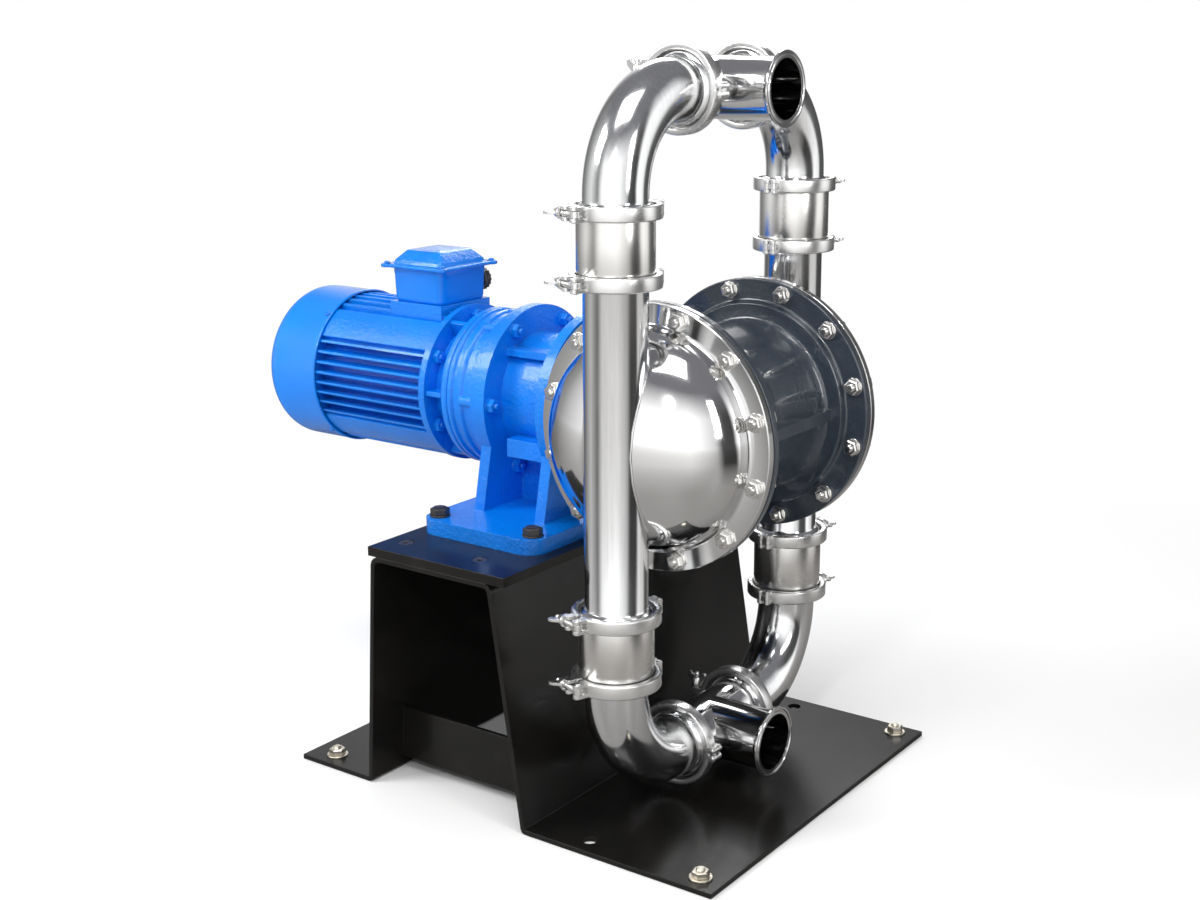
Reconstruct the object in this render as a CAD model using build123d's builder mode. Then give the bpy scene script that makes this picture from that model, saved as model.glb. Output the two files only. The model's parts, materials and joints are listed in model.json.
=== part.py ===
# Electric diaphragm pump on a bent-sheet stand.
# A flange motor drives a cycloidal gear reducer. Its output shaft carries a crank pin that
# works in a slotted yoke, and the yoke pushes a near and a far diaphragm by turns.
# Ball valves in the pipe columns let the liquid pass from the low port to the high port.
# X runs along the drive shaft (ports at +X), Y along the diaphragm rod, Z up from the floor.
# The origin lies on the floor, under the point where the shaft axis and the rod axis cross.
import os
from math import asin, atan2, cos, degrees, pi, radians, sin, sqrt

from build123d import *

# Stand: bent sheet
sheet = 6.0
stand_depth = 544.0
stand_top_left = -331.0
stand_top_right = -135.5
left_lean = 16.0
right_lean = 48.0
left_foot_length = 120.0
right_foot_length = 267.5
bend_inside = 7.0
brace_height = 70.0
brace_lift = 16.0
brace_inset = 61.0
anchor_hole_radius = 9.0
anchor_edge = 25.0
anchor_edge_outer = 30.0
anchor_edge_left = 40.0
anchor_pitch = 158.0
anchor_bolt_radius = 6.0
anchor_bolt_lift = 0.5
anchor_flats = 19.0
anchor_head = 8.0
washer_radius = 14.0
washer_thick = 2.5

# Drive plate and its countersunk screws
plate_thick = 12.0
plate_left_overhang = 4.0
plate_right_overhang = 20.5
plate_end_overhang = 0.0
screw_radius = 5.0
screw_head_radius = 10.0
screw_edge = 40.0
screw_left = 29.0
screw_pitch = 121.0
screw_clearance = 0.2
screw_head_depth = 4.5

# Drive shaft and gear reducer
axis_height = 480.0
centre_height = 159.0
gear_foot_thick = 20.0
gear_foot_length = 191.0
gear_foot_width = 380.0
gear_foot_corner = 26.0
gear_foot_bolt_x = 152.0
gear_foot_bolt_y = 336.0
foot_bolt_radius = 7.0
foot_bolt_clearance = 0.3
foot_bolt_flats = 22.0
foot_bolt_head = 9.0
foot_bolt_washer = 13.5
gear_flange_radius = 118.0
gear_flange_thick = 16.0
gear_neck_radius = 82.0
gear_neck_length = 84.0
pump_flange_radius = 118.0
pump_flange_thick = 16.0
pump_flange_x = -171.0
gear_foot_start = 37.0
web_top_half = 104.0
web_foot_half = 121.0
web_drop = 56.0
core_half = 41.0
neck_rib_thick = 10.0
neck_rib_height = 70.0
neck_rib_out = 26.0
neck_block_height = 24.0
neck_block_drop = 55.0
neck_block_out = 14.0
neck_block_gap = 20.0
shaft_hole_gap = 3.0
seat_bite = 8.0
case_length = 58.0
case_radius = 107.0
case_bore_radius = 86.0
case_rim = 5.0
case_groove_from = 8.0
case_groove = 10.0
case_groove_depth = 4.0
lug_from = 26.0
lug_rim = 14.0
lug_slot_depth = 6.0
lug_slot_width = 54.0
lug_count = 6
input_housing_length = 38.0
lantern_length = 15.0
lantern_wall = 14.0
lantern_bar_count = 6
lantern_window = 78.0
lantern_step = 1.0
gear_bolt_circle = 105.0
gear_nut_flats = 17.0
gear_nut_height = 9.0

# Cycloidal gear
lobe_count = 11
gear_eccentric = 3.0
ring_pin_circle = 84.0
ring_pin_radius = 6.0
ring_pin_end_gap = 6.0
lobe_gap = 0.3
disc_thick = 14.0
disc_gap = 2.0
disc_inset = 15.0
points_per_lobe = 10
output_pin_count = 4
output_pin_circle = 46.0
output_pin_radius = 7.0
pin_hole_gap = 0.4
sleeve_radius = 24.0
sleeve_over = 1.0
running_gap = 0.05

# Shafts, bearings and crank
motor_shaft_radius = 15.0
output_shaft_radius = 20.0
output_hub_radius = 60.0
output_hub_thick = 10.0
output_hub_gap = 1.5
motor_bearing_radius = 31.0
motor_bearing_width = 16.0
output_bearing_radius = 36.0
output_bearing_width = 18.0
crank_throw = 8.0
crank_pin_radius = 9.0
crank_web_radius = 27.0
crank_web_thick = 12.0
yoke_half_width = 14.0
yoke_gap = 2.0
yoke_end_wall = 14.0
yoke_side_wall = 12.0
yoke_end_gap = 1.0
stroke_lead = 0.22
crank_gap = 0.3

# Motor
motor_flange_radius = 108.0
motor_flange_thick = 10.0
motor_frame_length = 197.0
motor_frame_radius = 88.0
motor_bore_radius = 80.0
fin_tip_radius = 106.0
corner_pad_depth = 28.0
corner_pad_width = 46.0
fin_thick = 3.4
fin_pitch = 14.2
fin_count = 8
top_fin_pitch = 13.0
top_fin_count = 8
rear_shield_thick = 10.0
shield_hub_radius = 40.0
shield_bite = 4.0
shield_hole_gap = 1.0
rear_shield_step = 3.0
air_gap = 1.0
rotor_radius = 52.0
core_length = 105.0
core_start = 47.0
coil_length = 20.0
coil_inner = 60.0
coil_outer = 76.0
cowl_radius = 110.0
cowl_wall = 4.0
cowl_overlap = 3.0
cowl_straight = 82.0
cowl_dome = 42.0
cowl_turn = 77.4
cowl_bands = 4
cowl_screw_radius = 5.0
cowl_screw_head = 3.0
cowl_screw_turns = (40, 140, 220, 320)
fan_radius = 84.0
fan_hub_radius = 24.0
fan_width = 26.0
fan_blades = 7
fan_blade_thick = 3.0
fan_start = 24.0
shaft_tail = 52.0
vent_count = 10
vent_inner = 28.0
vent_outer = 62.0
vent_width = 9.0

# Terminal box
box_length = 93.0
box_width = 98.0
box_height = 47.0
box_start = 6.0
box_wall = 5.0
box_pad_height = 110.0
box_pad_out = 2.0
lid_rim_thick = 5.0
lid_overlap = 4.0
lid_height = 23.0
lid_top_shrink = 16.0
lid_straight = 4.0
lid_ear_radius = 8.0
lid_ear_out = 7.0
lid_ear_inset = 3.0
lid_screw_inset = 2.0
lid_screw_radius = 4.0
lid_screw_height = 3.0
gland_radius = 17.0
gland_thread_radius = 14.0
gland_length = 17.0
gland_from_edge = 20.0
gland_height = 24.0
gland_gap = 0.2

# Pump body and chambers
flange_radius = 164.0
bolt_circle_radius = 150.5
chamber_bolt_count = 12
body_flange_thick = 10.0
cover_flange_thick = 10.0
diaphragm_thick = 3.0
flange_face_y = 131.0
boss_radius = 134.0
boss_height = 8.0
bowl_radius = 116.0
bowl_depth = 62.0
drum_radius = 98.0
body_neck_radius = 80.0
body_flange_neck_radius = 104.0
body_neck_flange_thick = 12.0
side_rib_thick = 15.0
side_rib_reach = 118.0
cavity_radius = 78.0
cavity_depth = 30.0
rod_radius = 15.0
crank_room_radius = 58.0
crank_room_half = 50.0
clamp_plate_radius = 58.0
clamp_plate_thick = 10.0
stud_radius = 8.0
stud_over = 1.0
dome_radius = 108.0
dome_depth = 97.0
dome_root = 9.0
cover_cavity_radius = 92.0
cover_cavity_depth = 36.0
port_hole_radius = 30.0
bolt_flats = 18.0
bolt_head_height = 8.0
nut_height = 9.0

# Flats that stand for the hidden round walls, so that the facets stay few
hidden_flats = 24
small_flats = 12
pin_flats = 8

# Pipework
tube_outer_radius = 38.1
tube_wall = 2.0
ferrule_radius = 45.5
ferrule_thick = 6.4
gasket_thick = 2.0
gasket_inset = 0.5
column_y = 202.5
tube_half_length = 200.0
spool_pitch = 79.0
spool_radius = 45.5
spool_wall = 3.0
bend_radius = 114.3
elbow_run = 16.7
elbow_bore_radius = 34.0
bore_steps = 6
port_reach = 102.0
seat_thick = 12.0
seat_bore_radius = 19.0
ball_radius = 25.0
ball_lift = 12.0
ball_gap = 0.05
stop_bar = 6.0

# Pipe clamps
clamp_radius = 54.0
clamp_height = 17.0
clamp_gap = 0.3
clamp_split = 5.0
ear_reach = 68.0
ear_tip = 66.0
ear_inner = 6.0
ear_outer = 16.0
far_ear_inner = 4.0
far_ear_outer = 14.0
latch_slot = 8.6
ear_root = 2.0
split_reach = 20.0
latch_pin_radius = 2.5
latch_pin_reach = 62.0
latch_pin_back = 11.0
latch_eye_radius = 5.2
latch_eye_thick = 8.0
latch_rod = 6.5
latch_rod_length = 45.0
latch_nut_gap = 0.5
wing_half_thick = 4.5
wing_boss_half = 7.0
wing_waist_half = 4.0
wing_waist = 12.0
wing_shoulder = 7.0
wing_tip_half = 14.0
wing_tip_from = 13.0
wing_tip = 19.0
knuckle_half = 7.0
knuckle_reach = 65.0
near_latch_angle = 250.0
far_latch_angle = 88.0

# Places worked out from the sizes above
shaft_axis = Axis((0, 0, axis_height), (1, 0, 0))
rod_axis = Axis((0, 0, axis_height), (0, 1, 0))
plate_top = axis_height - centre_height
frame_top = plate_top - plate_thick
gear_foot_top = plate_top + gear_foot_thick
left_bend = stand_top_left - left_lean
right_bend = stand_top_right + right_lean
left_end = left_bend - left_foot_length
right_end = right_bend + right_foot_length
pump_flange_start = pump_flange_x - pump_flange_thick
gear_face_x = pump_flange_start - gear_neck_length
gear_back_x = gear_face_x - gear_flange_thick
case_back_x = gear_back_x - case_length
motor_face_x = case_back_x - input_housing_length
shield_back_x = motor_face_x - motor_flange_thick
frame_back_x = shield_back_x - motor_frame_length
rear_back_x = frame_back_x - rear_shield_thick
foot_start_x = gear_back_x - gear_foot_start
foot_end_x = foot_start_x + gear_foot_length
foot_mid_x = (foot_start_x + foot_end_x) / 2
plate_left = stand_top_left - plate_left_overhang
plate_right = stand_top_right + plate_right_overhang
plate_mid = (plate_left + plate_right) / 2
cover_back_y = flange_face_y - cover_flange_thick
body_face_y = cover_back_y - diaphragm_thick
body_back_y = body_face_y - body_flange_thick
tube_bore_radius = tube_outer_radius - tube_wall
spool_joint = tube_half_length + spool_pitch
tee_rise = spool_joint + elbow_run + bend_radius
tee_joint_y = column_y - bend_radius - elbow_run
half_gasket = gasket_thick / 2
disc_front_x = gear_back_x - disc_inset
parts = {}


def rounded(radius, flats):
    """A circle, or for hidden walls a polygon whose flats touch that circle from outside."""
    if flats:
        return RegularPolygon(radius, flats, major_radius=False)
    return Circle(radius)


def drum(start, end, radius, y=0.0, z=0.0, mode=Mode.ADD, flats=0):
    """A cylinder along X between two stations, off the shaft axis by y and z."""
    with BuildSketch(Plane.YZ.offset(start), mode=Mode.PRIVATE) as disc:
        with Locations((y, axis_height + z)):
            rounded(radius, flats)
    extrude(disc.sketch, amount=end - start, mode=mode)


def cross_drum(start, end, radius, x=0.0, z=axis_height, mode=Mode.ADD, flats=0):
    """A cylinder along Y between two stations."""
    with BuildSketch(Plane.XZ.offset(-start), mode=Mode.PRIVATE) as disc:
        with Locations((x, z)):
            rounded(radius, flats)
    extrude(disc.sketch, amount=start - end, mode=mode)


def upright_drum(start, end, radius, x=0.0, y=0.0, mode=Mode.ADD, flats=0):
    """A cylinder along Z between two heights."""
    with BuildSketch(Plane.XY.offset(start), mode=Mode.PRIVATE) as disc:
        with Locations((x, y)):
            rounded(radius, flats)
    extrude(disc.sketch, amount=end - start, mode=mode)


def block(x_range, y_range, z_range, mode=Mode.ADD):
    """A box between three pairs of stations."""
    middle = [(pair[0] + pair[1]) / 2 for pair in (x_range, y_range, z_range)]
    with Locations(tuple(middle)):
        Box(
            x_range[1] - x_range[0],
            y_range[1] - y_range[0],
            z_range[1] - z_range[0],
            mode=mode,
        )


def hexagon(flats):
    """Corner radius of a hexagon with this width across its flats."""
    return flats / 2 / cos(pi / 6)


# Stand
def wall_x(height, bend, top):
    """Inner face of a leaning wall at a height."""
    return bend + (top - bend) * height / (frame_top - sheet)


with BuildPart() as base_frame:
    with BuildSketch(Plane.XZ):
        with BuildLine():
            FilletPolyline(
                (left_end, 0),
                (left_bend + sheet, 0),
                (stand_top_left + sheet, frame_top - sheet),
                (stand_top_right - sheet, frame_top - sheet),
                (right_bend - sheet, 0),
                (right_end, 0),
                radius=bend_inside,
            )
            offset(amount=sheet, side=Side.LEFT)
        make_face()
    extrude(amount=stand_depth / 2, both=True)
    for side in (-1, 1):
        brace_y = side * (stand_depth / 2 - brace_inset)
        low = brace_lift
        high = brace_lift + brace_height
        bite = sheet / 2
        with BuildSketch(Plane.XZ.offset(-brace_y)):
            with BuildLine():
                Polyline(
                    (wall_x(low, left_bend + sheet, stand_top_left + sheet) - bite, low),
                    (wall_x(high, left_bend + sheet, stand_top_left + sheet) - bite, high),
                    (wall_x(high, right_bend - sheet, stand_top_right - sheet) + bite, high),
                    (wall_x(low, right_bend - sheet, stand_top_right - sheet) + bite, low),
                    close=True,
                )
            make_face()
        extrude(amount=sheet / 2, both=True)
    anchor_y = stand_depth / 2 - anchor_edge
    bolt_x_right = right_end - anchor_edge_outer
    open_hole_x = bolt_x_right - anchor_pitch
    bolt_x_left = left_end + anchor_edge_left
    with Locations(Plane.XY.offset(sheet)):
        for hole_x in (bolt_x_right, open_hole_x, bolt_x_left):
            with Locations((hole_x, -anchor_y), (hole_x, anchor_y)):
                Hole(anchor_hole_radius, depth=sheet)
    screw_y = stand_depth / 2 + plate_end_overhang - screw_edge
    screw_xs = (plate_left + screw_left, plate_left + screw_left + screw_pitch)
    foot_bolt_xs = (foot_mid_x - gear_foot_bolt_x / 2, foot_mid_x + gear_foot_bolt_x / 2)
    for hole_x in foot_bolt_xs:
        for side in (-1, 1):
            hole_y = side * gear_foot_bolt_y / 2
            upright_drum(
                frame_top - sheet,
                frame_top,
                foot_bolt_radius + foot_bolt_clearance,
                hole_x,
                hole_y,
                Mode.SUBTRACT,
                small_flats,
            )
    for hole_x in screw_xs:
        for side in (-1, 1):
            upright_drum(
                frame_top - sheet,
                frame_top,
                screw_radius + screw_clearance,
                hole_x,
                side * screw_y,
                Mode.SUBTRACT,
                small_flats,
            )
parts["base_frame"] = base_frame

with BuildPart() as drive_plate:
    half_depth = stand_depth / 2 + plate_end_overhang
    block((plate_left, plate_right), (-half_depth, half_depth), (frame_top, plate_top))
    for hole_x in foot_bolt_xs:
        for side in (-1, 1):
            upright_drum(
                frame_top,
                plate_top,
                foot_bolt_radius + foot_bolt_clearance,
                hole_x,
                side * gear_foot_bolt_y / 2,
                Mode.SUBTRACT,
                small_flats,
            )
    for hole_x in screw_xs:
        for side in (-1, 1):
            spot = (hole_x, side * screw_y)
            hole_radius = screw_radius + screw_clearance
            upright_drum(frame_top, plate_top, hole_radius, *spot, Mode.SUBTRACT, small_flats)
            with BuildSketch(Plane.XY.offset(plate_top)):
                with Locations(spot):
                    rounded(screw_head_radius + screw_clearance, small_flats)
            extrude(amount=-screw_head_depth, taper=45, mode=Mode.SUBTRACT)
parts["drive_plate"] = drive_plate

with BuildPart() as plate_screws:
    for hole_x in screw_xs:
        for side in (-1, 1):
            spot = (hole_x, side * screw_y)
            head_foot = plate_top - screw_head_depth
            upright_drum(frame_top - sheet, head_foot, screw_radius, *spot, flats=small_flats)
            with BuildSketch(Plane.XY.offset(plate_top - screw_clearance)):
                with Locations(spot):
                    rounded(screw_head_radius - screw_clearance, small_flats)
            extrude(amount=screw_clearance - screw_head_depth, taper=45)
parts["plate_screws"] = plate_screws

with BuildPart() as anchor_bolts:
    for hole_x in (bolt_x_left, bolt_x_right):
        for side in (-1, 1):
            spot = (hole_x, side * anchor_y)
            upright_drum(anchor_bolt_lift, sheet, anchor_bolt_radius, *spot, flats=small_flats)
            upright_drum(sheet, sheet + washer_thick, washer_radius, *spot, flats=small_flats)
            with BuildSketch(Plane.XY.offset(sheet + washer_thick)):
                with Locations(spot):
                    RegularPolygon(hexagon(anchor_flats), 6)
            extrude(amount=anchor_head)
parts["anchor_bolts"] = anchor_bolts

with BuildPart() as foot_bolts:
    for hole_x in foot_bolt_xs:
        for side in (-1, 1):
            spot = (hole_x, side * gear_foot_bolt_y / 2)
            upright_drum(frame_top - sheet, gear_foot_top, foot_bolt_radius, *spot, flats=small_flats)
            washer_top = gear_foot_top + washer_thick
            upright_drum(gear_foot_top, washer_top, foot_bolt_washer, *spot, flats=small_flats)
            with BuildSketch(Plane.XY.offset(washer_top)):
                with Locations(spot):
                    RegularPolygon(hexagon(foot_bolt_flats), 6)
            extrude(amount=foot_bolt_head)
parts["foot_bolts"] = foot_bolts

# Gear reducer: foot-mounted output housing
with BuildPart() as output_housing:
    with BuildSketch(Plane.XY.offset(plate_top)):
        with Locations((foot_mid_x, 0)):
            RectangleRounded(gear_foot_length, gear_foot_width, gear_foot_corner)
    extrude(amount=gear_foot_thick)
    for start, thick, top_radius in (
        (gear_back_x, gear_flange_thick, gear_flange_radius),
        (pump_flange_start, pump_flange_thick, pump_flange_radius),
    ):
        drum(start, start + thick, top_radius)
        with BuildSketch(Plane.YZ.offset(start)):
            with BuildLine():
                Polyline(
                    (-web_foot_half, gear_foot_top),
                    (web_foot_half, gear_foot_top),
                    (web_top_half, axis_height - web_drop),
                    (-web_top_half, axis_height - web_drop),
                    close=True,
                )
            make_face()
        extrude(amount=thick)
    drum(gear_face_x, pump_flange_start, gear_neck_radius)
    block((gear_face_x, pump_flange_start), (-core_half, core_half), (gear_foot_top, axis_height))
    rib_reach = sqrt(gear_neck_radius**2 - neck_rib_height**2) + neck_rib_out
    for side in (-1, 1):
        block(
            (gear_face_x, pump_flange_start),
            (min(0, side * rib_reach), max(0, side * rib_reach)),
            (axis_height + neck_rib_height - neck_rib_thick, axis_height + neck_rib_height),
        )
        block_reach = gear_neck_radius + neck_block_out
        block(
            (gear_face_x + neck_block_gap, pump_flange_start),
            (min(0, side * block_reach), max(0, side * block_reach)),
            (
                axis_height - neck_block_drop - neck_block_height / 2,
                axis_height - neck_block_drop + neck_block_height / 2,
            ),
        )
    shaft_hole = output_shaft_radius + shaft_hole_gap
    drum(gear_back_x, pump_flange_x, shaft_hole, mode=Mode.SUBTRACT, flats=small_flats)
    bearing_seats = (gear_face_x - seat_bite, pump_flange_x - output_bearing_width)
    for seat in bearing_seats:
        seat_end = seat + output_bearing_width
        drum(seat, seat_end, output_bearing_radius, mode=Mode.SUBTRACT, flats=hidden_flats)
    drum(gear_back_x, bearing_seats[0], output_bearing_radius, mode=Mode.SUBTRACT, flats=hidden_flats)
    for hole_x in foot_bolt_xs:
        for side in (-1, 1):
            upright_drum(
                plate_top,
                gear_foot_top,
                foot_bolt_radius + foot_bolt_clearance,
                hole_x,
                side * gear_foot_bolt_y / 2,
                Mode.SUBTRACT,
                small_flats,
            )
parts["output_housing"] = output_housing

# Ring gear case with the pins that the cycloidal discs roll on
ring_pin_count = lobe_count + 1
ring_pin_start = case_back_x + ring_pin_end_gap
ring_pin_end = gear_back_x - ring_pin_end_gap
lug_start = case_back_x + lug_from
lug_end = gear_back_x - lug_rim
with BuildPart() as ring_gear_case:
    drum(case_back_x, lug_end, case_radius)
    drum(lug_end, gear_back_x, case_radius + case_rim)
    with BuildSketch(Plane.YZ.offset(case_back_x + case_groove_from)):
        with Locations((0, axis_height)):
            Circle(case_radius + lantern_step)
            Circle(case_radius - case_groove_depth, mode=Mode.SUBTRACT)
    extrude(amount=case_groove, mode=Mode.SUBTRACT)
    with BuildSketch(Plane.YZ.offset(lug_start)):
        with Locations((0, axis_height)):
            with PolarLocations(case_radius, lug_count, start_angle=15):
                Rectangle(2 * lug_slot_depth, lug_slot_width)
    extrude(amount=lug_end - lug_start, mode=Mode.SUBTRACT)
    drum(case_back_x, gear_back_x, case_bore_radius, mode=Mode.SUBTRACT, flats=hidden_flats)
    with BuildSketch(Plane.YZ.offset(ring_pin_start)):
        with Locations((0, axis_height)):
            with PolarLocations(ring_pin_circle, ring_pin_count):
                RegularPolygon(ring_pin_radius, small_flats)
    extrude(amount=ring_pin_end - ring_pin_start)
parts["ring_gear_case"] = ring_gear_case

# Input housing: a lantern of bars towards the motor, then a wall with the shaft bearing
lantern_radius = case_radius + lantern_step
with BuildPart() as input_housing:
    drum(motor_face_x + lantern_length, case_back_x, lantern_radius)
    with BuildSketch(Plane.YZ.offset(motor_face_x)):
        with Locations((0, axis_height)):
            Circle(lantern_radius)
            RegularPolygon(lantern_radius - lantern_wall, hidden_flats, mode=Mode.SUBTRACT)
            with PolarLocations(case_radius, lantern_bar_count, start_angle=15):
                Rectangle(4 * lantern_wall, lantern_window, mode=Mode.SUBTRACT)
    extrude(amount=lantern_length)
    shaft_hole = motor_shaft_radius + shaft_hole_gap
    drum(motor_face_x, case_back_x, shaft_hole, mode=Mode.SUBTRACT, flats=small_flats)
    input_seat = case_back_x - motor_bearing_width
    drum(input_seat, case_back_x, motor_bearing_radius, mode=Mode.SUBTRACT, flats=hidden_flats)
parts["input_housing"] = input_housing


# Cycloidal discs, half a turn apart, so that their shaking forces cancel
def lobe_point(turn):
    """Point on the disc's outline for a turn in radians, seen from its own centre."""
    roll = atan2(
        sin(-lobe_count * turn),
        ring_pin_circle / (gear_eccentric * ring_pin_count) - cos(-lobe_count * turn),
    )
    reach = ring_pin_radius + lobe_gap
    across = ring_pin_circle * cos(turn) - reach * cos(turn + roll)
    across -= gear_eccentric * cos(ring_pin_count * turn)
    along = -ring_pin_circle * sin(turn) + reach * sin(turn + roll)
    along += gear_eccentric * sin(ring_pin_count * turn)
    return across, along


pin_hole = output_pin_radius + gear_eccentric + pin_hole_gap
disc_back_x = disc_front_x - disc_thick - disc_gap
for label, end, side in (
    ("cycloid_disc_front", disc_front_x, 1),
    ("cycloid_disc_rear", disc_back_x, -1),
):
    with BuildPart() as cycloid_disc:
        with BuildSketch(Plane.YZ.offset(end - disc_thick)):
            with BuildLine():
                outline = []
                for step in range(lobe_count * points_per_lobe):
                    across, along = lobe_point(2 * pi * step / (lobe_count * points_per_lobe))
                    height = axis_height + side * (gear_eccentric + across)
                    outline.append((side * along, height))
                Polyline(*outline, close=True)
            make_face()
            with Locations((0, axis_height + side * gear_eccentric)):
                Circle(sleeve_radius + running_gap, mode=Mode.SUBTRACT)
                with PolarLocations(output_pin_circle, output_pin_count):
                    RegularPolygon(pin_hole, hidden_flats, major_radius=False, mode=Mode.SUBTRACT)
        extrude(amount=disc_thick)
    parts[label] = cycloid_disc

# Rotating input parts
sleeve_front = disc_front_x + sleeve_over
sleeve_middle = disc_front_x - disc_thick - disc_gap / 2
sleeve_back = disc_back_x - disc_thick - sleeve_over
with BuildPart() as eccentric_sleeve:
    drum(sleeve_middle, sleeve_front, sleeve_radius, z=gear_eccentric)
    drum(sleeve_back, sleeve_middle, sleeve_radius, z=-gear_eccentric)
    drum(sleeve_back, sleeve_front, motor_shaft_radius, mode=Mode.SUBTRACT, flats=small_flats)
parts["eccentric_sleeve"] = eccentric_sleeve

core_front_x = shield_back_x - core_start
core_back_x = core_front_x - core_length
shaft_tail_x = rear_back_x - shaft_tail
with BuildPart() as rotor:
    drum(shaft_tail_x, sleeve_front, motor_shaft_radius)
    drum(core_back_x, core_front_x, rotor_radius, flats=hidden_flats)
parts["rotor"] = rotor

fan_front_x = rear_back_x - fan_start
fan_back_x = fan_front_x - fan_width
with BuildPart() as cooling_fan:
    drum(fan_back_x, fan_front_x, fan_hub_radius, flats=small_flats)
    drum(fan_front_x - fan_blade_thick, fan_front_x, fan_radius, flats=hidden_flats)
    with BuildSketch(Plane.YZ.offset(fan_back_x)):
        with Locations((0, axis_height)):
            with PolarLocations((fan_hub_radius + fan_radius) / 2 - 1, fan_blades):
                Rectangle(fan_radius - fan_hub_radius, fan_blade_thick)
    extrude(amount=fan_width)
    drum(fan_back_x, fan_front_x, motor_shaft_radius, mode=Mode.SUBTRACT, flats=small_flats)
parts["cooling_fan"] = cooling_fan

# Output shaft with its drive pins and the crank
hub_back = disc_front_x + output_hub_gap
hub_front = hub_back + output_hub_thick
crank_pin_end = yoke_half_width + yoke_gap
crank_web_end = -crank_pin_end
pins_back = disc_back_x - disc_thick - sleeve_over
with BuildPart() as output_shaft:
    drum(hub_back, hub_front, output_hub_radius, flats=hidden_flats)
    drum(hub_front, crank_web_end - crank_web_thick, output_shaft_radius)
    with BuildSketch(Plane.YZ.offset(pins_back)):
        with Locations((0, axis_height)):
            with PolarLocations(output_pin_circle, output_pin_count):
                RegularPolygon(output_pin_radius, small_flats)
    extrude(amount=hub_back + 0.5 - pins_back)
    drum(crank_web_end - crank_web_thick, crank_web_end, crank_web_radius, flats=hidden_flats)
    drum(crank_web_end, crank_pin_end, crank_pin_radius, z=crank_throw)
parts["output_shaft"] = output_shaft

# Bearings as plain rings in their seats
shield_seats = (shield_back_x - motor_bearing_width + shield_bite, frame_back_x - shield_bite)
bearing_rings = [
    (seat, output_bearing_width, output_bearing_radius, output_shaft_radius) for seat in bearing_seats
]
bearing_rings += [
    (seat, motor_bearing_width, motor_bearing_radius, motor_shaft_radius)
    for seat in (input_seat, *shield_seats)
]
with BuildPart() as shaft_bearings:
    for start, width, outer, inner in bearing_rings:
        drum(start, start + width, outer, flats=hidden_flats)
        drum(start, start + width, inner + running_gap, mode=Mode.SUBTRACT)
parts["shaft_bearings"] = shaft_bearings

# Nuts of the gear case and of the motor flange
with BuildPart() as reducer_bolts:
    with BuildSketch(Plane.YZ.offset(gear_face_x)):
        with Locations((0, axis_height)):
            with PolarLocations(gear_bolt_circle, 6):
                RegularPolygon(hexagon(gear_nut_flats), 6)
    extrude(amount=gear_nut_height)
    with BuildSketch(Plane.YZ.offset(motor_face_x)):
        with Locations((0, axis_height)):
            with PolarLocations(case_radius - lantern_wall, 6, start_angle=29):
                RegularPolygon(hexagon(gear_nut_flats), 6)
    extrude(amount=gear_nut_height)
parts["reducer_bolts"] = reducer_bolts

# Motor
with BuildPart() as motor_frame:
    with BuildSketch(Plane.YZ.offset(frame_back_x)) as frame_section:
        with Locations((0, axis_height)):
            Circle(motor_frame_radius)
            for side in (-1, 1):
                with Locations((side * fin_tip_radius / 2, 0)):
                    with GridLocations(0, fin_pitch, 1, fin_count):
                        Rectangle(fin_tip_radius, fin_thick)
                with Locations((0, side * fin_tip_radius / 2)):
                    with GridLocations(top_fin_pitch, 0, top_fin_count, 1):
                        Rectangle(fin_thick, fin_tip_radius)
            with PolarLocations(fin_tip_radius - corner_pad_depth / 2, 4, start_angle=45):
                Rectangle(corner_pad_depth, corner_pad_width)
            Circle(fin_tip_radius, mode=Mode.INTERSECT)
            RegularPolygon(motor_bore_radius, hidden_flats, major_radius=False, mode=Mode.SUBTRACT)
    extrude(amount=motor_frame_length)
    pad_end = shield_back_x - box_start
    block(
        (pad_end - box_length, pad_end),
        (-box_width / 2 - box_pad_out, box_width / 2 + box_pad_out),
        (axis_height + motor_frame_radius - box_pad_out, axis_height + box_pad_height),
    )
parts["motor_frame"] = motor_frame

with BuildPart() as front_shield:
    drum(shield_back_x, motor_face_x, motor_flange_radius)
    drum(shield_seats[0], shield_back_x, shield_hub_radius, flats=hidden_flats)
    seat_end = shield_back_x + shield_bite
    drum(shield_seats[0], seat_end, motor_bearing_radius, mode=Mode.SUBTRACT, flats=hidden_flats)
    shaft_hole = motor_shaft_radius + shield_hole_gap
    drum(shield_back_x, motor_face_x, shaft_hole, mode=Mode.SUBTRACT, flats=small_flats)
parts["front_shield"] = front_shield

with BuildPart() as rear_shield:
    drum(rear_back_x, frame_back_x, fin_tip_radius - rear_shield_step)
    hub_end = frame_back_x + motor_bearing_width - shield_bite
    drum(frame_back_x, hub_end, shield_hub_radius, flats=hidden_flats)
    drum(shield_seats[1], hub_end, motor_bearing_radius, mode=Mode.SUBTRACT, flats=hidden_flats)
    shaft_hole = motor_shaft_radius + shield_hole_gap
    drum(rear_back_x, frame_back_x, shaft_hole, mode=Mode.SUBTRACT, flats=small_flats)
parts["rear_shield"] = rear_shield

with BuildPart() as stator:
    coil_back_x = core_back_x - coil_length
    coil_front_x = core_front_x + coil_length
    drum(core_back_x, core_front_x, motor_bore_radius, flats=hidden_flats)
    drum(coil_back_x, coil_front_x, coil_outer, flats=hidden_flats)
    drum(coil_back_x, core_back_x, coil_inner, mode=Mode.SUBTRACT, flats=hidden_flats)
    drum(core_front_x, coil_front_x, coil_inner, mode=Mode.SUBTRACT, flats=hidden_flats)
    drum(core_back_x, core_front_x, rotor_radius + air_gap, mode=Mode.SUBTRACT, flats=hidden_flats)
parts["stator"] = stator

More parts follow.
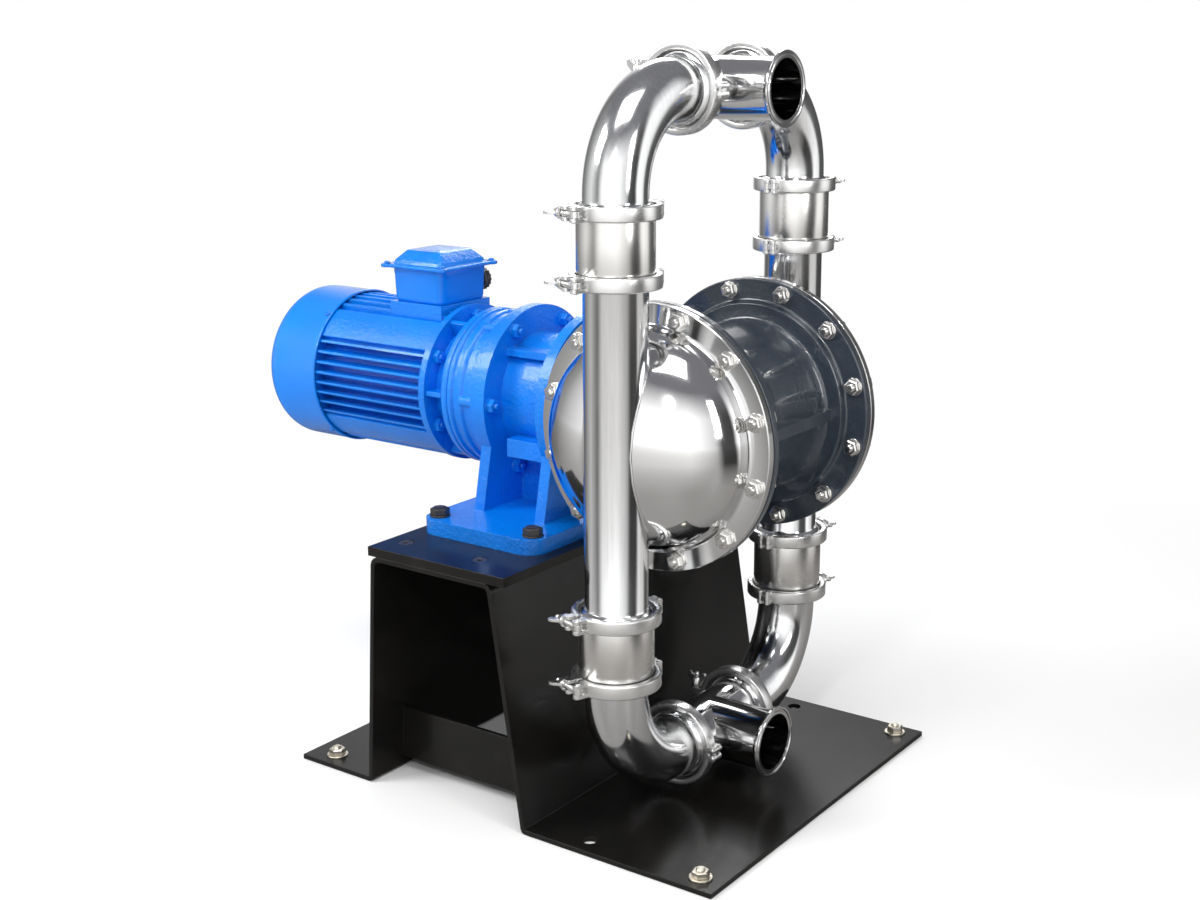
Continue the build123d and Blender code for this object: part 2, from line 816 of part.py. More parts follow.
cowl_rim_x = frame_back_x + cowl_overlap
cowl_corner_x = frame_back_x - cowl_straight
with BuildPart() as fan_cowl:
    for shrink, bands, mode in ((0.0, cowl_bands, Mode.ADD), (cowl_wall, 1, Mode.SUBTRACT)):
        outline = [(cowl_rim_x, axis_height), (cowl_rim_x, axis_height + cowl_radius - shrink)]
        for step in range(bands + 1):
            turn = radians(cowl_turn * step / bands)
            along = cowl_corner_x - (cowl_dome - shrink) * sin(turn) / sin(radians(cowl_turn))
            outline.append((along, axis_height + (cowl_radius - shrink) * cos(turn)))
        outline.append((outline[-1][0], axis_height))
        with BuildSketch(Plane.XZ, mode=Mode.PRIVATE) as cowl_half:
            with BuildLine():
                Polyline(*outline, close=True)
            make_face()
        revolve(cowl_half.sketch, axis=shaft_axis, mode=mode)
    with BuildSketch(Plane.YZ.offset(cowl_corner_x - cowl_dome)):
        with Locations((0, axis_height)):
            with PolarLocations((vent_inner + vent_outer) / 2, vent_count):
                Rectangle(vent_outer - vent_inner, vent_width)
    extrude(amount=cowl_dome, mode=Mode.SUBTRACT)
parts["fan_cowl"] = fan_cowl

# Terminal box
box_end = pad_end
box_bottom = axis_height + box_pad_height
box_top = box_bottom + box_height
box_mid = box_end - box_length / 2
with BuildPart() as terminal_box:
    block((box_end - box_length, box_end), (-box_width / 2, box_width / 2), (box_bottom, box_top))
    block(
        (box_end - box_length + box_wall, box_end - box_wall),
        (-box_width / 2 + box_wall, box_width / 2 - box_wall),
        (box_bottom + box_wall, box_top),
        Mode.SUBTRACT,
    )
    gland_x = box_end - gland_from_edge
    gland_z = box_bottom + gland_height
    cross_drum(
        box_width / 2 - box_wall,
        box_width / 2,
        gland_thread_radius + gland_gap,
        gland_x,
        gland_z,
        Mode.SUBTRACT,
        small_flats,
    )
parts["terminal_box"] = terminal_box

ear_x = box_length / 2 + lid_ear_out
ear_y = box_width / 2 + lid_ear_out
with BuildPart() as terminal_lid:
    with BuildSketch(Plane.XY.offset(box_top)):
        with Locations((box_mid, 0)):
            Rectangle(box_length + 2 * lid_overlap, box_width + 2 * lid_overlap)
            with GridLocations(2 * (ear_x - lid_ear_inset), 2 * (ear_y - lid_ear_inset), 2, 2):
                RegularPolygon(lid_ear_radius, small_flats)
    extrude(amount=lid_rim_thick)
    with BuildSketch(Plane.XY.offset(box_top + lid_rim_thick)):
        with Locations((box_mid, 0)):
            Rectangle(box_length, box_width)
    extrude(amount=lid_straight)
    bevel_start = box_top + lid_rim_thick + lid_straight
    bevel_height = lid_height - lid_rim_thick - lid_straight
    with BuildSketch(Plane.XY.offset(bevel_start)):
        with Locations((box_mid, 0)):
            Rectangle(box_length, box_width)
    extrude(amount=bevel_height, taper=degrees(atan2(lid_top_shrink, bevel_height)))
    block(
        (box_end - box_length + box_wall, box_end - box_wall),
        (-box_width / 2 + box_wall, box_width / 2 - box_wall),
        (box_top, box_top + lid_rim_thick + lid_straight),
        Mode.SUBTRACT,
    )
parts["terminal_lid"] = terminal_lid

with BuildPart() as lid_screws:
    with BuildSketch(Plane.XY.offset(box_top + lid_rim_thick)):
        with Locations((box_mid, 0)):
            with GridLocations(2 * (ear_x - lid_screw_inset), 2 * (ear_y - lid_screw_inset), 2, 2):
                RegularPolygon(lid_screw_radius, 6)
    extrude(amount=lid_screw_height)
    for turn in cowl_screw_turns:
        with BuildSketch(Plane.XY.offset(cowl_radius + 0.1), mode=Mode.PRIVATE) as cowl_screw:
            with Locations((frame_back_x, 0)):
                RegularPolygon(cowl_screw_radius, 6)
        head = extrude(cowl_screw.sketch, amount=cowl_screw_head, mode=Mode.PRIVATE)
        add(head.rotate(Axis.X, turn).translate((0, 0, axis_height)))
parts["lid_screws"] = lid_screws

with BuildPart() as cable_gland:
    gland_spot = {"x": gland_x, "z": gland_z, "flats": small_flats}
    cross_drum(box_width / 2 - box_wall, box_width / 2, gland_thread_radius, **gland_spot)
    cross_drum(box_width / 2, box_width / 2 + gland_length, gland_radius, **gland_spot)
parts["cable_gland"] = cable_gland

# Pump body: two round flanges, dished bowls, a central drum and a neck to the reducer
bowl_end = body_back_y - boss_height
with BuildPart() as centre_body:
    with BuildSketch(Plane.YZ, mode=Mode.PRIVATE) as body_half:
        with BuildLine():
            Polyline(
                (0, axis_height),
                (0, axis_height + drum_radius),
                (bowl_end - bowl_depth, axis_height + drum_radius),
                (bowl_end, axis_height + bowl_radius),
                (bowl_end, axis_height + boss_radius),
                (body_back_y, axis_height + boss_radius),
                (body_back_y, axis_height + flange_radius),
                (body_face_y, axis_height + flange_radius),
                (body_face_y, axis_height),
                close=True,
            )
        make_face()
    half_body = revolve(body_half.sketch, axis=rod_axis, mode=Mode.PRIVATE)
    add(half_body)
    mirror(half_body, about=Plane.XZ)
    drum(pump_flange_x, -drum_radius / 2, body_neck_radius)
    drum(pump_flange_x, pump_flange_x + body_neck_flange_thick, body_flange_neck_radius)
    rib_half = body_back_y - boss_height / 2
    block(
        (drum_radius / 2, side_rib_reach),
        (-rib_half, rib_half),
        (axis_height - side_rib_thick / 2, axis_height + side_rib_thick / 2),
    )
    cross_drum(
        -crank_room_half, crank_room_half, crank_room_radius, mode=Mode.SUBTRACT, flats=hidden_flats
    )
    for side in (-1, 1):
        floor_y = side * (body_face_y - cavity_depth)
        cross_drum(
            floor_y, side * body_face_y, cavity_radius, mode=Mode.SUBTRACT, flats=hidden_flats
        )
        cross_drum(0, floor_y, rod_radius + running_gap, mode=Mode.SUBTRACT)
    web_hole = crank_web_radius + shaft_hole_gap
    drum(pump_flange_x, 0, web_hole, mode=Mode.SUBTRACT, flats=hidden_flats)
parts["centre_body"] = centre_body

# Diaphragm rod with a slotted yoke for the crank pin, and a stud at each end
yoke_slot_half = crank_pin_radius + stroke_lead * crank_throw + crank_gap
with BuildPart() as diaphragm_rod:
    cross_drum(-body_face_y, body_face_y, rod_radius)
    stud_end = flange_face_y + stud_over
    cross_drum(-stud_end, stud_end, stud_radius, flats=small_flats)
    yoke_half_length = yoke_slot_half + yoke_end_wall
    yoke_half_height = crank_throw + crank_pin_radius + yoke_side_wall
    block(
        (-yoke_half_width, yoke_half_width),
        (-yoke_half_length, yoke_half_length),
        (axis_height - yoke_half_height, axis_height + yoke_half_height),
    )
    slot_half = crank_throw + crank_pin_radius + yoke_end_gap
    block(
        (-2 * yoke_half_width, 2 * yoke_half_width),
        (-yoke_slot_half, yoke_slot_half),
        (axis_height - slot_half, axis_height + slot_half),
        Mode.SUBTRACT,
    )
parts["diaphragm_rod"] = diaphragm_rod

with BuildPart() as diaphragm_plates:
    for side in (-1, 1):
        inner = side * (body_face_y - clamp_plate_thick)
        rod_hole = rod_radius + running_gap
        cross_drum(inner, side * body_face_y, clamp_plate_radius, flats=hidden_flats)
        cross_drum(inner, side * body_face_y, rod_hole, mode=Mode.SUBTRACT, flats=small_flats)
        cross_drum(side * cover_back_y, side * flange_face_y, clamp_plate_radius, flats=hidden_flats)
        cross_drum(
            side * cover_back_y,
            side * flange_face_y,
            stud_radius,
            mode=Mode.SUBTRACT,
            flats=small_flats,
        )
parts["diaphragm_plates"] = diaphragm_plates

for label, side in (("near_diaphragm", -1), ("far_diaphragm", 1)):
    with BuildPart() as diaphragm:
        cross_drum(side * body_face_y, side * cover_back_y, flange_radius - 2)
        cross_drum(
            side * body_face_y,
            side * cover_back_y,
            stud_radius,
            mode=Mode.SUBTRACT,
            flats=small_flats,
        )
    parts[label] = diaphragm

# Polished chambers: a flanged dome with the long column tube welded through it
dome_rise = dome_depth - dome_root
dome_sphere = (dome_radius**2 + dome_rise**2) / (2 * dome_rise)
dome_half_angle = degrees(asin(dome_radius / dome_sphere))
for label, side in (("near_chamber", -1), ("far_chamber", 1)):
    with BuildPart() as chamber:
        face = side * flange_face_y
        back = side * cover_back_y
        centre_y = side * (flange_face_y + dome_depth - dome_sphere)
        with BuildSketch(Plane.YZ, mode=Mode.PRIVATE) as dome_half:
            with BuildLine():
                Polyline(
                    (face + side * dome_depth, axis_height),
                    (back, axis_height),
                    (back, axis_height + flange_radius),
                    (face, axis_height + flange_radius),
                    (face, axis_height + dome_radius + dome_root),
                    (face + side * dome_root, axis_height + dome_radius),
                )
                CenterArc(
                    (centre_y, axis_height),
                    dome_sphere,
                    0 if side > 0 else 180,
                    side * dome_half_angle,
                )
            make_face()
        revolve(dome_half.sketch, axis=rod_axis)
        tube_top = tube_half_length - half_gasket
        tube_y = side * column_y
        upright_drum(axis_height - tube_top, axis_height + tube_top, tube_outer_radius, 0, tube_y)
        for way in (-1, 1):
            end_z = axis_height + way * tube_top
            upright_drum(end_z - way * ferrule_thick, end_z, ferrule_radius, 0, tube_y)
        upright_drum(
            axis_height - tube_top,
            axis_height + tube_top,
            tube_bore_radius,
            0,
            tube_y,
            Mode.SUBTRACT,
            hidden_flats,
        )
        cross_drum(
            back,
            back + side * cover_cavity_depth,
            cover_cavity_radius,
            mode=Mode.SUBTRACT,
            flats=hidden_flats,
        )
        cross_drum(back, tube_y, port_hole_radius, mode=Mode.SUBTRACT, flats=small_flats)
    parts[label] = chamber

# Bolt heads on the covers and nuts behind the body flanges
with BuildPart() as chamber_bolts:
    for side in (-1, 1):
        for start, height in (
            (side * flange_face_y, side * bolt_head_height),
            (side * body_back_y, -side * nut_height),
        ):
            with BuildSketch(Plane.XZ.offset(-start)):
                with Locations((0, axis_height)):
                    with PolarLocations(
                        bolt_circle_radius, chamber_bolt_count, start_angle=180 / chamber_bolt_count
                    ):
                        RegularPolygon(hexagon(bolt_flats), 6)
            extrude(amount=-height)
parts["chamber_bolts"] = chamber_bolts

# Valve spools between the long tubes and the elbows, with a ball stop across each
spool_length = spool_pitch - gasket_thick
spool_bore = spool_radius - spool_wall
valves = {}
for label, side, way in (
    ("near_suction", -1, -1),
    ("near_discharge", -1, 1),
    ("far_suction", 1, -1),
    ("far_discharge", 1, 1),
):
    middle = axis_height + way * (tube_half_length + spool_pitch / 2)
    valves[label] = (side * column_y, middle - spool_length / 2)

stop_height = seat_thick + sqrt(ball_radius**2 - seat_bore_radius**2)
stop_height += ball_gap + ball_radius + ball_lift + 0.5
with BuildPart() as valve_spools:
    for valve_y, foot in valves.values():
        upright_drum(foot, foot + spool_length, spool_radius, 0, valve_y)
        upright_drum(
            foot, foot + spool_length, spool_bore, 0, valve_y, Mode.SUBTRACT, hidden_flats
        )
        block(
            (-spool_bore - 1, spool_bore + 1),
            (valve_y - stop_bar / 2, valve_y + stop_bar / 2),
            (foot + stop_height, foot + stop_height + stop_bar),
        )
parts["valve_spools"] = valve_spools

with BuildPart() as valve_seats:
    for valve_y, foot in valves.values():
        upright_drum(foot, foot + seat_thick, spool_bore, 0, valve_y, flats=hidden_flats)
        upright_drum(foot, foot + seat_thick, seat_bore_radius, 0, valve_y, Mode.SUBTRACT)
parts["valve_seats"] = valve_seats

# The two balls of a pair lift on the same stroke
ball_rise = seat_thick + sqrt(ball_radius**2 - seat_bore_radius**2) + ball_gap
for label, names in (
    ("first_stroke_balls", ("near_suction", "far_discharge")),
    ("second_stroke_balls", ("far_suction", "near_discharge")),
):
    with BuildPart() as valve_balls:
        for name in names:
            valve_y, foot = valves[name]
            with Locations((0, valve_y, foot + ball_rise)):
                Sphere(ball_radius)
    parts[label] = valve_balls

# Elbows from the columns to the tees
def bend_pipe(side, way, radius, flats):
    """A pipe from a column's end round the bend to the tee, full or as a bore to cut."""
    start_z = axis_height + way * (spool_joint + half_gasket)
    corner_z = axis_height + way * tee_rise
    tube_y = side * column_y
    end_y = side * (tee_joint_y + half_gasket)
    with BuildLine() as elbow_path:
        if flats:
            stations = [(0, tube_y, start_z)]
            for step in range(bore_steps + 1):
                turn = radians(90 * step / bore_steps)
                inward = side * bend_radius * (1 - cos(turn))
                drop = way * bend_radius * (1 - sin(turn))
                stations.append((0, tube_y - inward, corner_z - drop))
            stations.append((0, end_y, corner_z))
            Polyline(*stations)
        else:
            FilletPolyline(
                (0, tube_y, start_z), (0, tube_y, corner_z), (0, end_y, corner_z), radius=bend_radius
            )
    with BuildSketch(Plane.XY.offset(start_z), mode=Mode.PRIVATE) as ring:
        with Locations((0, tube_y)):
            rounded(radius, flats)
    return sweep(ring.sketch, path=elbow_path.line, transition=Transition.RIGHT, mode=Mode.PRIVATE)


with BuildPart() as pipe_elbows:
    for side in (-1, 1):
        for way in (-1, 1):
            start_z = axis_height + way * (spool_joint + half_gasket)
            corner_z = axis_height + way * tee_rise
            end_y = side * (tee_joint_y + half_gasket)
            add(bend_pipe(side, way, tube_outer_radius, 0))
            upright_drum(start_z, start_z + way * ferrule_thick, ferrule_radius, 0, side * column_y)
            cross_drum(end_y, end_y + side * ferrule_thick, ferrule_radius, 0, corner_z)
            add(bend_pipe(side, way, elbow_bore_radius, small_flats), mode=Mode.SUBTRACT)
parts["pipe_elbows"] = pipe_elbows

with BuildPart() as pipe_tees:
    tee_half = tee_joint_y - half_gasket
    for way in (-1, 1):
        tee_z = axis_height + way * tee_rise
        lift = way * tee_rise
        cross_drum(-tee_half, tee_half, tube_outer_radius, 0, tee_z)
        drum(0, port_reach, tube_outer_radius, z=lift)
        cross_drum(-tee_half, -tee_half + ferrule_thick, ferrule_radius, 0, tee_z)
        cross_drum(tee_half - ferrule_thick, tee_half, ferrule_radius, 0, tee_z)
        drum(port_reach - ferrule_thick, port_reach, ferrule_radius, z=lift)
        cross_drum(-tee_half, tee_half, tube_bore_radius, 0, tee_z, Mode.SUBTRACT, hidden_flats)
        drum(0, port_reach, tube_bore_radius, z=lift, mode=Mode.SUBTRACT)
parts["pipe_tees"] = pipe_tees

# Where the twelve clamps sit: centre, pipe direction, latch direction
clamp_places = {}
for column, side, angle in (("near", -1, near_latch_angle), ("far", 1, far_latch_angle)):
    aim = (cos(radians(angle)), sin(radians(angle)), 0)
    for name, height in (
        ("upper_elbow", spool_joint),
        ("upper_tube", tube_half_length),
        ("lower_tube", -tube_half_length),
        ("lower_elbow", -spool_joint),
    ):
        centre = (0, side * column_y, axis_height + height)
        clamp_places[column + "_" + name] = Plane(origin=centre, x_dir=aim, z_dir=(0, 0, -1))
    for name, way in (("upper_tee", 1), ("lower_tee", -1)):
        centre = (0, side * tee_joint_y, axis_height + way * tee_rise)
        clamp_places[column + "_" + name] = Plane(origin=centre, x_dir=(-1, 0, 0), z_dir=(0, 1, 0))

with BuildPart() as joint_gaskets:
    for place in clamp_places.values():
        with BuildSketch(place.offset(-half_gasket)):
            RegularPolygon(ferrule_radius - gasket_inset, small_flats)
            RegularPolygon(tube_bore_radius + gasket_inset, small_flats, mode=Mode.SUBTRACT)
        extrude(amount=gasket_thick)
parts["joint_gaskets"] = joint_gaskets

# Clamp rings: split at the latch, with a fork for the swing bolt and a slotted ear for its nut
with BuildPart() as clamp_rings:
    for place in clamp_places.values():
        with BuildSketch(place.offset(-clamp_height / 2)):
            Circle(clamp_radius)
            for tip, ear_y_inner, ear_y_outer in (
                (ear_reach, -ear_outer, -ear_inner),
                (ear_tip, far_ear_inner, far_ear_outer),
                (-knuckle_reach, -knuckle_half, knuckle_half),
            ):
                ear_foot = clamp_radius - 2 * ear_root
                ear_foot = ear_foot if tip > 0 else -ear_foot
                with Locations(((ear_foot + tip) / 2, (ear_y_inner + ear_y_outer) / 2)):
                    Rectangle(abs(tip - ear_foot), ear_y_outer - ear_y_inner)
            RegularPolygon(
                ferrule_radius + clamp_gap, hidden_flats, major_radius=False, mode=Mode.SUBTRACT
            )
            with Locations((clamp_radius - ear_root, 0)):
                Rectangle(split_reach, clamp_split, mode=Mode.SUBTRACT)
        extrude(amount=clamp_height)
        with BuildSketch(place.offset(-latch_slot / 2)):
            with Locations((clamp_radius + 1 + split_reach / 2, 0)):
                Rectangle(split_reach, clamp_radius)
        extrude(amount=latch_slot, mode=Mode.SUBTRACT)
        with BuildSketch(place.offset(-clamp_height / 2)):
            with Locations((latch_pin_reach, -latch_pin_back)):
                Circle(latch_pin_radius)
        extrude(amount=clamp_height)
parts["clamp_rings"] = clamp_rings

# Swing bolts with wing nuts
for label, place in clamp_places.items():
    with BuildPart() as latch:
        with BuildSketch(place.offset(-latch_eye_thick / 2)):
            with Locations((latch_pin_reach, -latch_pin_back)):
                RegularPolygon(latch_eye_radius, pin_flats)
        extrude(amount=latch_eye_thick)
        with BuildSketch(place.offset(-latch_rod / 2)):
            with Locations((latch_pin_reach, -latch_pin_back + latch_rod_length / 2)):
                Rectangle(latch_rod, latch_rod_length)
        extrude(amount=latch_rod)
        nut_start = far_ear_outer + latch_nut_gap
        with BuildSketch(place):
            with BuildLine():
                half_wing = (
                    (latch_pin_reach + wing_boss_half, nut_start),
                    (latch_pin_reach + wing_boss_half + 1, nut_start + wing_shoulder),
                    (latch_pin_reach + wing_tip_half, nut_start + wing_tip_from),
                    (latch_pin_reach + wing_tip_half - 1, nut_start + wing_tip),
                    (latch_pin_reach + wing_waist_half, nut_start + wing_waist),
                )
                other_wing = [(2 * latch_pin_reach - across, along) for across, along in reversed(half_wing)]
                Polyline(*half_wing, *other_wing, close=True)
            make_face()
        extrude(amount=wing_half_thick, both=True)
        with BuildSketch(place.offset(-latch_eye_thick)):
            with Locations((latch_pin_reach, -latch_pin_back)):
                Circle(latch_pin_radius + running_gap)
        extrude(amount=2 * latch_eye_thick, mode=Mode.SUBTRACT)
    parts[label + "_latch"] = latch

os.makedirs("parts", exist_ok=True)
for label, sub_part in parts.items():
    sub_part.part.label = label
    export_step(sub_part.part, "parts/" + label + ".step")
print(len(parts), "parts written")
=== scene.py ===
import json
import math

import bmesh
import bpy
from mathutils import Matrix, Vector


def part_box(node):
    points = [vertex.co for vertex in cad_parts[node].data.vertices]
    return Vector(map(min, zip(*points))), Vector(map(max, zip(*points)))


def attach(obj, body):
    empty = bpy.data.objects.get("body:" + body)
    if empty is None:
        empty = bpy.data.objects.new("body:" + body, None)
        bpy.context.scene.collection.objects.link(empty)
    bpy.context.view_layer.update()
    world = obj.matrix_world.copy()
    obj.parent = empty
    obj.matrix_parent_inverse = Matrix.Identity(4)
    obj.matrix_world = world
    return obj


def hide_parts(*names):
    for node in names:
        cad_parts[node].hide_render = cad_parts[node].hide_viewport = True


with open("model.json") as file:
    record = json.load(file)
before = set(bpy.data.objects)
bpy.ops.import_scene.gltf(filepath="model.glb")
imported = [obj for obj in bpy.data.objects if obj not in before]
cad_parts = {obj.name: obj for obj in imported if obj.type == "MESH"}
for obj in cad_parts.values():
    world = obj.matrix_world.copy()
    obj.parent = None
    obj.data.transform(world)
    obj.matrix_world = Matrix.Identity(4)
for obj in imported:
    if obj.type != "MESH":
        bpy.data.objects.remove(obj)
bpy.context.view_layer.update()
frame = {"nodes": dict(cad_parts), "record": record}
nodes = frame["nodes"]

mm = 0.001  # pieces are made in millimetres and scaled when they are finished


def boxOf(node):
    low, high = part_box(node)
    return Vector(low) / mm, Vector(high) / mm


# Tube, clamp rims and bends of the pipework
pipe = {
    "outer": 38.1,
    "bore": 36.1,
    "rim": 45.5,
    "halfGasket": 1.0,
    "faceToRim": 117.0,  # from a cover's face out to the rims of its column
    "bend": 114.3,
    "bendSteps": 24,
    "sides": 64,
    "grooveIn": 39.6,
    "grooveOut": 42.6,
    "grooveDeep": 1.4,
    "lip": 2.4,
    "cone": 6.4,
    "coneDrop": 3.4,
    "collar": 19.0,
    "collarThick": 1.0,
}

# Places taken from the frame
discLow, discHigh = boxOf("near_diaphragm")
tubeLow, tubeHigh = boxOf("near_chamber")
spoolHigh = boxOf("valve_spools")[1]
teeHigh = boxOf("pipe_tees")[1]
axisHeight = (discLow.z + discHigh.z) / 2  # drive axis above the floor
columnY = -tubeLow.y - pipe["rim"]  # pipe columns off the middle
tubeHalf = (tubeHigh.z - tubeLow.z) / 2 + pipe["halfGasket"]  # up to the middle of the gasket
spoolJoint = spoolHigh.z - axisHeight + pipe["halfGasket"]
teeRise = teeHigh.z - axisHeight - pipe["rim"]
teeJoint = teeHigh.y + pipe["halfGasket"]
flangeFace = -tubeLow.y - pipe["faceToRim"]
print("frame loaded")


# Materials: a socket that takes part in sums, and a finish that makes its nodes
class Value:
    def __init__(self, finish, socket):
        self.finish = finish
        self.socket = socket

    def maths(self, operation, other, first=0):
        sockets = {first: self, 1 - first: other}
        return self.finish.node("ShaderNodeMath", {"operation": operation}, sockets)

    def __add__(self, other):
        return self.maths("ADD", other)

    def __mul__(self, other):
        return self.maths("MULTIPLY", other)

    def __rsub__(self, other):
        return self.maths("SUBTRACT", other, first=1)

    __radd__ = __add__
    __rmul__ = __mul__


class Finish:
    def __init__(self, name):
        self.material = bpy.data.materials.new(name)
        self.material.use_nodes = True
        self.tree = self.material.node_tree
        self.shader = self.tree.nodes["Principled BSDF"]

    # Adds a node, sets its settings, then fills its sockets with numbers, colours or links
    def node(self, kind, settings=None, values=None, out=0):
        made = self.tree.nodes.new(kind)
        for key, setting in (settings or {}).items():
            if key == "stops":
                ramp = made.color_ramp.elements
                while len(ramp) < len(setting):
                    ramp.new(0.5)
                for stop, (place, colour) in zip(ramp, setting):
                    stop.position = place
                    stop.color = (*colour, 1)
            else:
                setattr(made, key, setting)
        for key, value in (values or {}).items():
            self.fill(made.inputs[key], value)
        return Value(self, made.outputs[out])

    def fill(self, socket, value):
        if isinstance(value, Value):
            self.tree.links.new(value.socket, socket)
        elif isinstance(value, (tuple, list)) and len(value) == 3 and socket.type == "RGBA":
            socket.default_value = (*value, 1)
        else:
            socket.default_value = value

    def set(self, **values):
        for key, value in values.items():
            self.fill(self.shader.inputs[key.replace("_", " ")], value)

    def place(self, stretch=(1, 1, 1)):
        coords = self.node("ShaderNodeTexCoord", out=3)
        return self.node("ShaderNodeMapping", None, {"Vector": coords, "Scale": stretch})

    # Noise whose features are about size metres across
    def noise(self, size, detail=3.0, rough=0.5, place=None):
        values = {"Vector": place or self.place(), "Scale": 1 / size, "Detail": detail, "Roughness": rough}
        return self.node("ShaderNodeTexNoise", None, values)

    def span(self, value, low, high, newLow=0.0, newHigh=1.0):
        return self.node("ShaderNodeMapRange", None, {0: value, 1: low, 2: high, 3: newLow, 4: newHigh})

    def mix(self, factor, first, second, way="MIX"):
        made = {"data_type": "RGBA", "blend_type": way}
        return self.node("ShaderNodeMix", made, {0: factor, 6: first, 7: second}, out=2)

    # One axis of a vector: 0, 1 or 2
    def axis(self, vector, number):
        return self.node("ShaderNodeSeparateXYZ", None, {0: vector}, out=number)

    # One where a ray comes from the camera, and one where it is a mirrored ray
    def rays(self):
        return [self.node("ShaderNodeLightPath", out=kind) for kind in (0, 3)]

    # Surface relief, over edges that are softened to a radius
    def bump(self, height, strength, distance, soft=0.0):
        values = {"Height": height, "Strength": strength, "Distance": distance}
        if soft:
            values["Normal"] = self.node("ShaderNodeBevel", {"samples": 4}, {"Radius": soft})
        return self.node("ShaderNodeBump", None, values)


# Sizes in metres of the enamel's marks, and its dust
enamel = {
    "cloud": 0.09,
    "peel": 0.0035,
    "dustPatch": 0.02,
    "dust": (0.42, 0.42, 0.40),
    "softEdge": 0.0015,
    "coatRoughness": 0.06,
    "glass": 1.5,
}


# Enamel over a casting or pressing: orange peel, faint runs of shade and dust
def glossPaint(name, colour, dark, castSize, castHeight, roughness, coat, shine=0.5, dusty=0.12):
    paint = Finish(name)
    wide = paint.noise(enamel["cloud"], 4)
    peel = paint.noise(enamel["peel"], 2)
    grain = paint.noise(castSize, 5, 0.6)
    dust = paint.span(paint.noise(enamel["dustPatch"], 6, 0.7), 0.55, 0.8, 0, dusty)
    shade = paint.mix(paint.span(wide, 0.35, 0.7), colour, dark)
    paint.set(
        Base_Color=paint.mix(dust, shade, enamel["dust"]),
        Roughness=roughness + wide * 0.06 + dust * 0.8,
        Normal=paint.bump(peel * 0.25 + grain * 0.75, 1.0, castHeight, enamel["softEdge"]),
        Coat_Weight=coat,
        Specular_IOR_Level=shine,
        Coat_Roughness=enamel["coatRoughness"],
        IOR=enamel["glass"],
    )
    return paint.material


# Bare metal: fine grinding lines along one way, with smudges that blur the shine
def steel(name, colour, roughness, smudge, scratch, stretch=(1, 1, 30)):
    metal = Finish(name)
    lines = metal.noise(0.004, 4, 0.6, metal.place(stretch))
    cloud = metal.noise(0.05, 4)
    tone = metal.span(lines, 0.3, 0.7)
    metal.set(
        Metallic=1.0,
        Base_Color=metal.mix(tone, tuple(0.9 * part for part in colour), colour),
        Roughness=roughness + metal.span(cloud, 0.4, 0.7, 0, smudge) + lines * smudge * 0.5,
        Normal=metal.bump(lines, 0.6, scratch),
    )
    return metal.material


# Rubber and plastic: a fine grain and faint clouds
def rubberLike(name, colour, roughness):
    soft = Finish(name)
    grain = soft.noise(0.0015, 4, 0.6)
    cloud = soft.noise(0.03, 3)
    soft.set(
        Base_Color=soft.mix(soft.span(cloud, 0.3, 0.7), colour, tuple(part * 0.8 + 0.01 for part in colour)),
        Roughness=roughness + cloud * 0.1,
        Normal=soft.bump(grain, 0.8, 0.00005),
    )
    return soft.material


def rawIron(name, colour, roughness):
    iron = Finish(name)
    grain = iron.noise(0.0012, 6, 0.7)
    cloud = iron.noise(0.04, 4)
    iron.set(
        Metallic=0.85,
        Base_Color=iron.mix(iron.span(cloud, 0.3, 0.7), colour, tuple(part * 0.7 for part in colour)),
        Roughness=roughness + grain * 0.15,
        Normal=iron.bump(grain, 0.9, 0.00015),
    )
    return iron.material


driveBlue = (0.001, 0.215, 0.82)
bodyGrey = (0.030, 0.040, 0.056)
standBlack = (0.006, 0.0058, 0.0056)
boltBlack = (0.02, 0.02, 0.022)

# Paints: colour, its dark patches, cast grain and its height in metres, roughness, coat
finishes = {
    "blue_paint": glossPaint(
        "driveBlue", driveBlue, (0.001, 0.17, 0.68), 0.006, 0.0020, 0.12, 0.3, shine=0.4, dusty=0.02
    ),
    "sheetBlue": glossPaint(
        "sheetBlue", driveBlue, (0.001, 0.19, 0.74), 0.004, 0.0002, 0.16, 0.3, shine=0.4, dusty=0.02
    ),
    "body_paint": glossPaint(
        "bodyGrey", bodyGrey, (0.022, 0.030, 0.043), 0.006, 0.0014, 0.12, 0.9, dusty=0.03
    ),
    "black_paint": glossPaint(
        "standPaint", standBlack, (0.010, 0.009, 0.008), 0.0022, 0.00006, 0.22, 0.08, shine=0.28, dusty=0.02
    ),
    "black_bolt": glossPaint("blackBolt", boltBlack, (0.035, 0.033, 0.03), 0.001, 0.00003, 0.35, 0.1),
}

# Metals: colour, roughness, smudges, depth of the grinding lines and the way that they run
finishes["polished_steel"] = steel("mirrorSteel", (0.79, 0.79, 0.79), 0.055, 0.05, 0.000004)
finishes["tubeSteel"] = steel("tubeSteel", (0.77, 0.775, 0.78), 0.10, 0.07, 0.000008, (1, 1, 0.06))
finishes["brushed_stainless"] = steel("satinSteel", (0.78, 0.77, 0.75), 0.19, 0.08, 0.000012, (1, 1, 40))
finishes["castStainless"] = steel("castClamps", (0.84, 0.84, 0.83), 0.24, 0.12, 0.00002)
finishes["brightBolt"] = steel("brightBolts", (0.80, 0.79, 0.77), 0.14, 0.08, 0.00001)
finishes["zinc_steel"] = steel("zincSteel", (0.72, 0.68, 0.58), 0.25, 0.15, 0.00002)
finishes["machined_steel"] = steel("turnedSteel", (0.56, 0.57, 0.58), 0.24, 0.1, 0.00002)
finishes["cast_iron"] = rawIron("castIron", (0.25, 0.25, 0.26), 0.5)
finishes["black_rubber"] = rubberLike("blackRubber", (0.03, 0.03, 0.03), 0.55)
